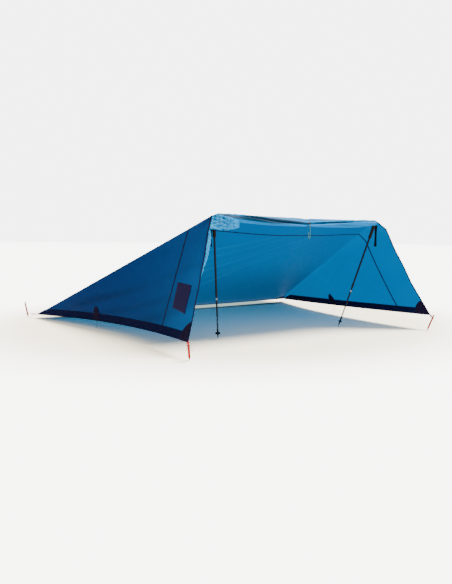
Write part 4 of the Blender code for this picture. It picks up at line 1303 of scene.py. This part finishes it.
class SHELTER_OT_patches(bpy.types.Operator):
    """Sew the dark patches on the corners and at the middle of the side hems"""
    bl_idname = "shelter.patches"
    bl_label = "Patches"

    def execute(self, context):
        for word, side in SIDES.items():
            front_depth = wing_depth(side, 0.0)
            first = 1 - CORNER_PATCH / front_depth
            lanes = [side * (1 + down) for down in steps(first, 0.996, 14)]

            def front_end(lane, side=side, first=first):
                t = (abs(lane) - 1 - first) / (0.996 - first)
                return share(0.026) + share(CORNER_PATCH) * 0.8 * math.sin(t * math.pi / 2) ** 0.8

            sew_patch("corner_patch_shown_front_" + word, lanes, lambda lane: share(0.002), front_end, 8,
                      "corner_patch_front_" + word)
            inner = 1 - CORNER_PATCH / REAR_CORNERS[side][0]
            lanes = [side * across for across in steps(inner, 0.992, 14)]

            def rear_start(lane, inner=inner):
                t = (abs(lane) - inner) / (0.992 - inner)
                return 1 - share(CORNER_PATCH) * (0.25 + 0.75 * t ** 0.8)

            sew_patch("corner_patch_shown_rear_" + word, lanes, rear_start,
                      lambda lane: rear_edge(lane) - share(0.001), 8, "corner_patch_rear_" + word)
            middle = MID_HEM_SHARE[side]
            reach = MID_PATCH_DEPTH / wing_depth(side, middle)
            downs = [1.001 - reach * math.cos(math.radians(angle)) for angle in steps(4, 90, 16)]

            def half(lane, reach=reach):
                height = min(1.0, (2 - abs(lane)) / reach)
                return share(MID_PATCH_HALF) * max(0.10, math.sqrt(max(0.0, 1 - height ** 2)))

            sew_patch("hem_patch_" + word, [side * (1 + down) for down in downs],
                      lambda lane: middle - half(lane), lambda lane: middle + half(lane), 10,
                      "mid_hem_patch_" + word)
        return {"FINISHED"}


class SHELTER_OT_label(bpy.types.Operator):
    """Sew the plain woven label on the left wing"""
    bl_idname = "shelter.label"
    bl_label = "Label"

    def execute(self, context):
        down, along = LABEL_CENTRE
        depth = wing_depth(-1, 0.0)
        half_down, half_along = LABEL_SIZE[1] / depth / 2, share(LABEL_SIZE[0] / 2)
        rows, flat = [], []
        downs, alongs = steps(-half_down, half_down, 20), steps(-half_along, half_along, 12)
        for shift in downs:
            def place(aside, lift):
                aside = aside + LABEL_SHEAR * shift
                return surface(-1 - down - shift + LABEL_TILT * aside, along + aside, lift)
            outer = [place(aside, 0.0026) for aside in alongs]
            inner = [place(aside, 0.0012) for aside in reversed(alongs)]
            rows.append(outer + inner)
            marks = [(shift * depth, aside * CREASE_LENGTH) for aside in alongs]
            flat.append(marks + marks[::-1])
        mesh = grid_mesh(rows, flat, round_across=True, capped=True)
        cover("plain_label", mesh, "Woven label", "label")
        return {"FINISHED"}


def roll_centre(x):
    centre, downward, long_half = brow_section(min(max(x, -BROW_HALF), BROW_HALF))
    lift = RIDGE_SAG * (min(abs(x), RIDGE_HALF) ** 2 - min(abs(x), BROW_HALF) ** 2) / RIDGE_HALF ** 2
    lift += BROW_RISE * (1 - x / RIDGE_HALF) / 2
    return Vector((x, centre.y, centre.z + lift)), downward, long_half


def roll_point(x, angle):
    """A point of the rolled flap: long slanting folds run from the tie to the pole tops."""
    out = abs(x) / ROLL_HALF
    centre, downward, long_half = roll_centre(x)
    forward = Vector((0, downward.z, -downward.y))
    turned = (math.degrees(angle) + 360) % 360
    thick = BROW_THICK * (1.45 + 0.5 * noise.noise(Vector((x / 0.33, 0.3, 2.0))))
    pinch = 1 - 0.30 * math.exp(-((x - TIE_X) / 0.030) ** 2)
    ends = 1 - 0.55 * smooth(out, 0.965, 1.0)
    groove_at = 42 + 112 * out ** 1.2 if x < TIE_X else 50 + 84 * out ** 1.1
    behind = turned - groove_at
    deep = 0.6 + 0.4 * smooth(1 - out, 0.0, 0.25)
    fold = 0.0
    if -60 < behind < 90:
        fold = deep * (-0.0135 * math.exp(-(behind / 10.0) ** 2)
                       + 0.0055 * math.exp(-((behind + 24) / 13.0) ** 2)
                       + 0.0050 * math.exp(-((behind - 24) / 17.0) ** 2))
    second = turned - (groove_at + 46 - 20 * out)
    fold -= 0.0050 * math.exp(-(second / 7.0) ** 2) * smooth(1 - out, 0.05, 0.4)
    slant = turned + 60 * out * math.copysign(1, x - TIE_X)
    fans = 0.0034 * noise.noise(Vector((slant / 20.0, x / 0.50, 4.4))) \
        + 0.0018 * noise.noise(Vector((slant / 8.0, x / 0.22, 9.1)))
    crumple = 0.0055 * smooth(out, 0.60, 0.92) * noise.noise(Vector((x / 0.026, turned / 24.0, 1.4)))
    grow = (fold + fans + crumple) * (1.0 if turned > 8 else 0.6)
    return (centre + downward * (long_half * pinch * ends + grow) * math.cos(angle)
            + forward * (thick * pinch * ends + grow) * math.sin(angle))


def roll_shade(x, turned):
    """Depth of painted shade in the flap's long folds, and painted highlights on the crests beside them and
    on the crumples at the left end.
    """
    out = abs(x) / ROLL_HALF
    if x < TIE_X:
        t = min(1.0, (TIE_X - x) / (TIE_X + 0.94))
        middle, half = 62 + 40 * t ** 0.9, 5 + 36 * math.sin(math.pi * t ** 1.1) ** 0.8
    else:
        t = min(1.0, (x - TIE_X) / (0.94 - TIE_X))
        middle, half = 66 + 52 * t, 3 + 7 * math.sin(math.pi * t) ** 0.8
    away = abs(turned - middle) / half
    # painted shade inside the long fold
    deep = 1 - smooth(away, 0.75, 1.25)
    # painted highlight along the crest beside the fold
    crest_highlight = math.exp(-((turned - middle - half - 10) / 8.0) ** 2) * (0.5 + 0.5 * noise.noise(
        Vector((x / 0.1, 2.0, 1.0))))
    # painted shade in small folds
    fine = max(0.0, noise.noise(Vector((turned / 9.0, x / 0.30, 5.0)))) * 0.5 * (1 - deep)
    # painted highlights on the crumples at the left end
    rough = smooth(out, 0.75, 0.95) if x < 0 else 0.0
    crumple_highlight = max(0.0, crumpled(x, turned / 1000, 0.016, 4.0)) * rough
    return max(deep, fine), held_in(max(0.0, crest_highlight * 0.6 + crumple_highlight * 0.6) * (1 - deep))


class SHELTER_OT_rolled_flap(bpy.types.Operator):
    """Roll up the front flap under the ridge and gather it at its tie"""
    bl_idname = "shelter.rolled_flap"
    bl_label = "Rolled Flap"

    def execute(self, context):
        rows, flat, shades = [], [], []
        around = 76
        for x in steps(-ROLL_HALF, ROLL_HALF, 240):
            row, marks, shade, girth, before = [], [], [], 0.0, None
            for step in range(around + 1):
                t = step / around
                angle = math.radians(212 - 470 * t)
                point = roll_point(x, angle)
                inward = smooth(t, 0.58, 1.0)
                point = point.lerp(roll_centre(x)[0], 0.46 * inward)
                if t < 0.06:
                    edge = surface(max(-0.995, min(0.995, x / RIDGE_HALF)), share(0.012), 0.0020)
                    point = edge.lerp(point, smooth(t, 0.0, 0.06))
                girth += (point - before).length if before is not None else 0.0
                before = point
                row.append(point)
                marks.append((x, girth))
                shade.append(roll_shade(x, (math.degrees(angle) + 360) % 360))
            rows.append(row)
            flat.append(marks)
            shades.append(shade)
        roll = cover("rolled_flap", grid_mesh(rows, flat, marks=shades), "Rolled ripstop",
                     "rolled_brow")
        thick = roll.modifiers.new("thickness", "SOLIDIFY")
        thick.thickness, thick.offset = 0.0006, 0.0
        dress("brow_toggle", "Moulded black")
        return {"FINISHED"}


def crumpled(across, down, size, seed):
    """Sharp little dents and crests of cloth that has been bunched up, from about -1 to 1."""
    a = noise.noise(Vector((across / size, down / size, seed)))
    b = noise.noise(Vector((across / size * 2.1, down / size * 1.7, seed + 3)))
    return 1.3 * (1 - 3.0 * abs(a)) * 0.6 + 0.5 * b


class SHELTER_OT_gathers(bpy.types.Operator):
    """Bunch up the spare cloth in front of the left grip and along the left front edge"""
    bl_idname = "shelter.gathers"
    bl_label = "Gathered Cloth"

    def execute(self, context):
        rows, flat, shades = [], [], []
        for u in steps(0, 1, 120):
            shade = []
            edge = 1 - smooth(u, 0.0, 0.30)
            x = -0.945 + 0.205 * u
            centre, downward, long_half = roll_centre(x)
            top = centre + downward * long_half * (-0.55 + 1.0 * u)
            top.y -= 0.020 + 0.030 * math.sin(math.pi * min(1.0, u * 1.1))
            low = ridge_frame(x, -0.088 + 0.018 * u, 0.968 + 0.030 * u ** 1.5)
            row, marks = [], []
            for v in steps(0, 1, 60):
                point = top.lerp(low, v)
                down = 0.012 + 0.118 * v
                point = point.lerp(surface(-(1 + down), 0.0) + Vector((0.003, -0.004, 0)), edge)
                loose = smooth(u, 0.0, 0.12) * smooth(v, 0.0, 0.15) * (1 - 0.6 * smooth(u, 0.7, 1.0))
                fan = math.atan2(0.12 * v + 0.004, 0.03 + u * 0.205)
                point.y += loose * (0.0075 * noise.noise(Vector((fan * 7.0, u * 1.5, 5.5)))
                                    + 0.0070 * crumpled(x, point.z, 0.030, 2.0)
                                    - 0.012 * math.sin(math.pi * v))
                point.z += 0.004 * v * noise.noise(Vector((x / 0.03, 0.0, 8.0)))
                row.append(point)
                marks.append((x, v * 0.13))
                # painted shade in the dents, deeper towards the left pole, and painted highlights on the
                # crests
                rough = crumpled(x, point.z, 0.015, 7.0)
                shade.append((held_in(-rough * 0.8 + 0.25 * (1 - u)), held_in(rough - 0.25)))
            rows.append(row)
            flat.append(marks)
            shades.append(shade)
        drape = add_piece("gathered_corner_left", grid_mesh(rows, flat, marks=shades), "Rolled ripstop")
        rows, flat, shades = [], [], []
        for t in steps(0, 1, 90):
            shade = []
            down = 0.135 + 0.42 * t
            edge = surface(-(1 + down), 0.0)
            width = CURL_WIDTH * math.sin(math.pi * min(1.0, t * 1.02 + 0.02) ** 0.62) ** 0.9
            row, marks = [], []
            for s in steps(0, 1, 22):
                reach = width * s
                point = edge + Vector((reach * 0.96, reach * 0.20, 0.0)) + Vector((0, 0.003, 0))
                point.y -= 0.008 * math.sin(math.pi * s) * width / CURL_WIDTH
                rough = 0.0050 * crumpled(s * width + 0.3, t * 0.45, 0.021, 6.0) * smooth(s, 0.0, 0.25)
                point += Vector((0.25, -0.95, 0.1)) * rough * min(1.0, width / 0.02)
                point.x = min(point.x, -0.999)
                row.append(point)
                marks.append((t * 0.45, reach))
                # painted shade in the dents and painted highlights on the crests of the curl
                rough = crumpled(s * width, t * 0.45, 0.013, 9.0)
                shade.append((held_in(-rough), held_in(rough - 0.2)))
            rows.append(row)
            flat.append(marks)
            shades.append(shade)
        curl = add_piece("edge_curl_left", grid_mesh(rows, flat, marks=shades), "Rolled ripstop")
        return {"FINISHED"}


class SHELTER_OT_corner_ties(bpy.types.Operator):
    """Make the green webbing loops and finish the ladder buckles and the stakes"""
    bl_idname = "shelter.corner_ties"
    bl_label = "Corner Ties and Stakes"

    def execute(self, context):
        for corner in CORNERS:
            start, pull, sideways, up, _ = tie_frame(corner)
            loop_end, _, _ = tie_places()
            half_height = WEBBING_INNER[1] / 2 + WEBBING_THICKNESS / 2
            path = []
            first = 0.003 + half_height
            for step in range(41):
                t = step / 40
                if t < 0.5:
                    path.append((first + (loop_end - 2 * half_height - 0.003) * t * 2, half_height))
                else:
                    path.append((first + (loop_end - 2 * half_height - 0.003) * (1 - t) * 2, -half_height))
            bend = [(loop_end - half_height + half_height * math.sin(math.radians(a)),
                     half_height * math.cos(math.radians(a))) for a in steps(0, 180, 10)]
            path = [(-0.004, 0.0022), (0.0, 0.0026), (0.004, 0.0034)] \
                + [p for p in path[:21] if 0.006 < p[0] < loop_end - half_height] + bend \
                + [p for p in path[21:] if 0.006 < p[0] < loop_end - half_height] \
                + [(0.004, -0.0034), (0.0, -0.0026), (-0.004, -0.0022)]

            def spot(out, above, aside, start=start, pull=pull, up=up, sideways=sideways):
                return start + pull * out + up * above + sideways * aside

            mesh = webbing_mesh(path, spot, WEBBING_WIDTH / 2, WEBBING_THICKNESS / 2, 0.35, 6)
            cover("green_loop_" + corner, mesh, "Corner webbing", "webbing_loop_" + corner)
            dress("buckle_" + corner, "Moulded black")
            dress("stake_" + corner, "Red anodised")
        return {"FINISHED"}


class SHELTER_OT_poles(bpy.types.Operator):
    """Finish the tubes, collars, ferrules, baskets, tips and grips"""
    bl_idname = "shelter.poles"
    bl_label = "Poles"

    def execute(self, context):
        for word in SIDES:
            for part in ("upper_shaft", "middle_shaft", "lower_shaft"):
                dress(f"{part}_{word}", "Pole tube " + word.title())
            dress("upper_collar_" + word, "Pole collar " + word.title())
            for part in ("middle_expander", "lower_expander", "ferrule", "basket"):
                dress(f"{part}_{word}", "Moulded black")
            dress("carbide_tip_" + word, "Hardened tip")
            dress("grip_" + word, "Grip foam")
        return {"FINISHED"}


class SHELTER_OT_straps(bpy.types.Operator):
    """Hang the wrist straps and sew the pockets that hold the grips"""
    bl_idname = "shelter.straps"
    bl_label = "Straps and Pockets"

    def execute(self, context):
        for word, side in SIDES.items():
            pivot, _ = pole_axis(side)
            centre = pivot + Vector((side * STRAP_OUT, 0, 0))
            low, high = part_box("wrist_strap_" + word)
            half = (high[0] - low[0]) / 2 - 0.001
            path = []
            for angle in steps(0, 180, 12):
                a = math.radians(angle)
                path.append((half * math.cos(a), high[2] - centre.z - half + half * math.sin(a) - 0.001))
            drop = low[2] - centre.z + half + 0.001
            top = path[0][1]

            def pinch(z):
                return 0.0055 * math.sin(math.pi * (z - drop) / (top - drop)) ** 0.8

            for z in steps(top, drop, 26)[1:-1]:
                path.append((-half + pinch(z), z))
            for angle in steps(180, 360, 12):
                a = math.radians(angle)
                path.append((half * math.cos(a), drop + half * math.sin(a)))
            for z in steps(drop, top, 26)[1:-1]:
                path.append((half - pinch(z), z))

            def spot(x, z, aside, centre=centre):
                return centre + Vector((x, aside, z))

            mesh = webbing_mesh(path, spot, STRAP_HALF_WIDTH, STRAP_HALF_THICK, 0.4, 8, closed=True)
            cover("hand_strap_" + word, mesh, "Strap webbing", "wrist_strap_" + word,
                  body=word + "_strap")
            cover("pole_cup_" + word, self.pocket(word, side), "Edge binding", "pole_pocket_" + word)
        return {"FINISHED"}

    def pocket(self, word, side):
        """A sewn cup: soft outer wall, rolled rim and hollow for the grip's head."""
        pivot, _ = pole_axis(side)
        low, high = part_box("pole_pocket_" + word)
        rim, top = low[2] - pivot.z, high[2] - pivot.z
        radius = (high[0] - low[0]) / 2
        profile = [(0.002, top - 0.001), (radius * 0.72, top - 0.001), (radius * 0.90, top - 0.004),
                   (radius * 0.97, top - 0.011), (radius * 0.95, (top + rim) / 2),
                   (radius * 0.97, rim + 0.006), (radius, rim + 0.003), (radius * 0.99, rim + 0.0008),
                   (radius * 0.93, rim + 0.0002)]
        for angle in steps(55, 4, 8):
            a = math.radians(angle)
            profile.append((POCKET_HOLLOW * math.sin(a), POCKET_HOLLOW * math.cos(a)))
        rows, flat, length = [], [], 0.0
        for k, (out, z) in enumerate(profile):
            if k:
                length += math.hypot(out - profile[k - 1][0], z - profile[k - 1][1])
            row, marks = [], []
            for step in range(40):
                angle = math.tau * step / 40
                pucker = 1 + (0.025 * math.sin(9 * angle) if 1 < k < 6 else 0.0)
                reach = min(out * pucker, radius)
                row.append(pivot + Vector((reach * math.cos(angle), reach * math.sin(angle), z)))
                marks.append((0.02 * angle, length - 0.06))
            rows.append(row)
            flat.append(marks)
        return grid_mesh(rows, flat, round_across=True, capped=True)


class SHELTER_OT_stage(bpy.types.Operator):
    """Lay the pale floor and set the soft lights"""
    bl_idname = "shelter.stage"
    bl_label = "Floor and Lights"

    def execute(self, context):
        stage = context.scene.shelter_stage
        mesh = bpy.data.meshes.new("floor")
        shape = bmesh.new()
        bmesh.ops.create_grid(shape, x_segments=4, y_segments=4, size=60.0)
        shape.to_mesh(mesh)
        shape.free()
        floor = bpy.data.objects.new("floor", mesh)
        floor.location.z = cad_low[2] - 0.0005
        mesh.materials.append(finish("Floor paper"))
        context.scene.collection.objects.link(floor)

        world = bpy.data.worlds.new("studio")
        world.use_nodes = True
        tree = world.node_tree
        background = tree.nodes["Background"]
        background.inputs["Color"].default_value = (1.0, 1.0, 1.0, 1.0)
        background.inputs["Strength"].default_value = stage.sky
        seen = tree.nodes.new("ShaderNodeBackground")
        seen.inputs["Strength"].default_value = 7.0
        path = tree.nodes.new("ShaderNodeLightPath")
        both = tree.nodes.new("ShaderNodeMixShader")
        tree.links.new(path.outputs["Is Camera Ray"], both.inputs[0])
        tree.links.new(background.outputs[0], both.inputs[1])
        tree.links.new(seen.outputs[0], both.inputs[2])
        tree.links.new(both.outputs[0], tree.nodes["World Output"].inputs["Surface"])
        context.scene.world = world

        light = bpy.data.lights.new("key", "SUN")
        light.energy, light.angle = stage.sun, math.radians(28)
        light.color = (1.0, 0.97, 0.93)
        key = bpy.data.objects.new("key", light)
        key.rotation_euler = Vector((0.55, -0.14, 1.0)).to_track_quat("Z", "Y").to_euler()
        context.scene.collection.objects.link(key)
        return {"FINISHED"}


class SHELTER_PT_panel(bpy.types.Panel):
    """Pieces and sizes of the tarp shelter"""
    bl_idname = "SHELTER_PT_panel"
    bl_label = "Tarp Shelter"
    bl_space_type = "VIEW_3D"
    bl_region_type = "UI"
    bl_category = "Shelter"

    def draw(self, context):
        layout = self.layout
        for operator in OPERATORS:
            layout.operator(operator.bl_idname)
        for label, group in (("Cloth", context.scene.shelter_cloth), ("Ties", context.scene.shelter_ties),
                             ("Poles", context.scene.shelter_poles), ("Stage", context.scene.shelter_stage)):
            box = layout.box()
            box.label(text=label)
            for name in group.__annotations__:
                box.prop(group, name)


OPERATORS = (SHELTER_OT_camera, SHELTER_OT_cords, SHELTER_OT_sheet, SHELTER_OT_seam, SHELTER_OT_hems,
             SHELTER_OT_patches, SHELTER_OT_label, SHELTER_OT_rolled_flap, SHELTER_OT_gathers,
             SHELTER_OT_corner_ties, SHELTER_OT_poles, SHELTER_OT_straps, SHELTER_OT_stage)
GROUPS = {"shelter_cloth": ShelterCloth, "shelter_ties": ShelterTies, "shelter_poles": ShelterPoles,
          "shelter_stage": ShelterStage}


def register():
    for kind in (*GROUPS.values(), *OPERATORS, SHELTER_PT_panel):
        bpy.utils.register_class(kind)
    for name, kind in GROUPS.items():
        setattr(bpy.types.Scene, name, PointerProperty(type=kind))


def unregister():
    for name in GROUPS:
        delattr(bpy.types.Scene, name)
    for kind in reversed((*GROUPS.values(), *OPERATORS, SHELTER_PT_panel)):
        bpy.utils.unregister_class(kind)


def main():
    register()
    for operator in OPERATORS:
        group, name = operator.bl_idname.split(".")
        getattr(getattr(bpy.ops, group), name)()


if __name__ == "__main__":
    main()
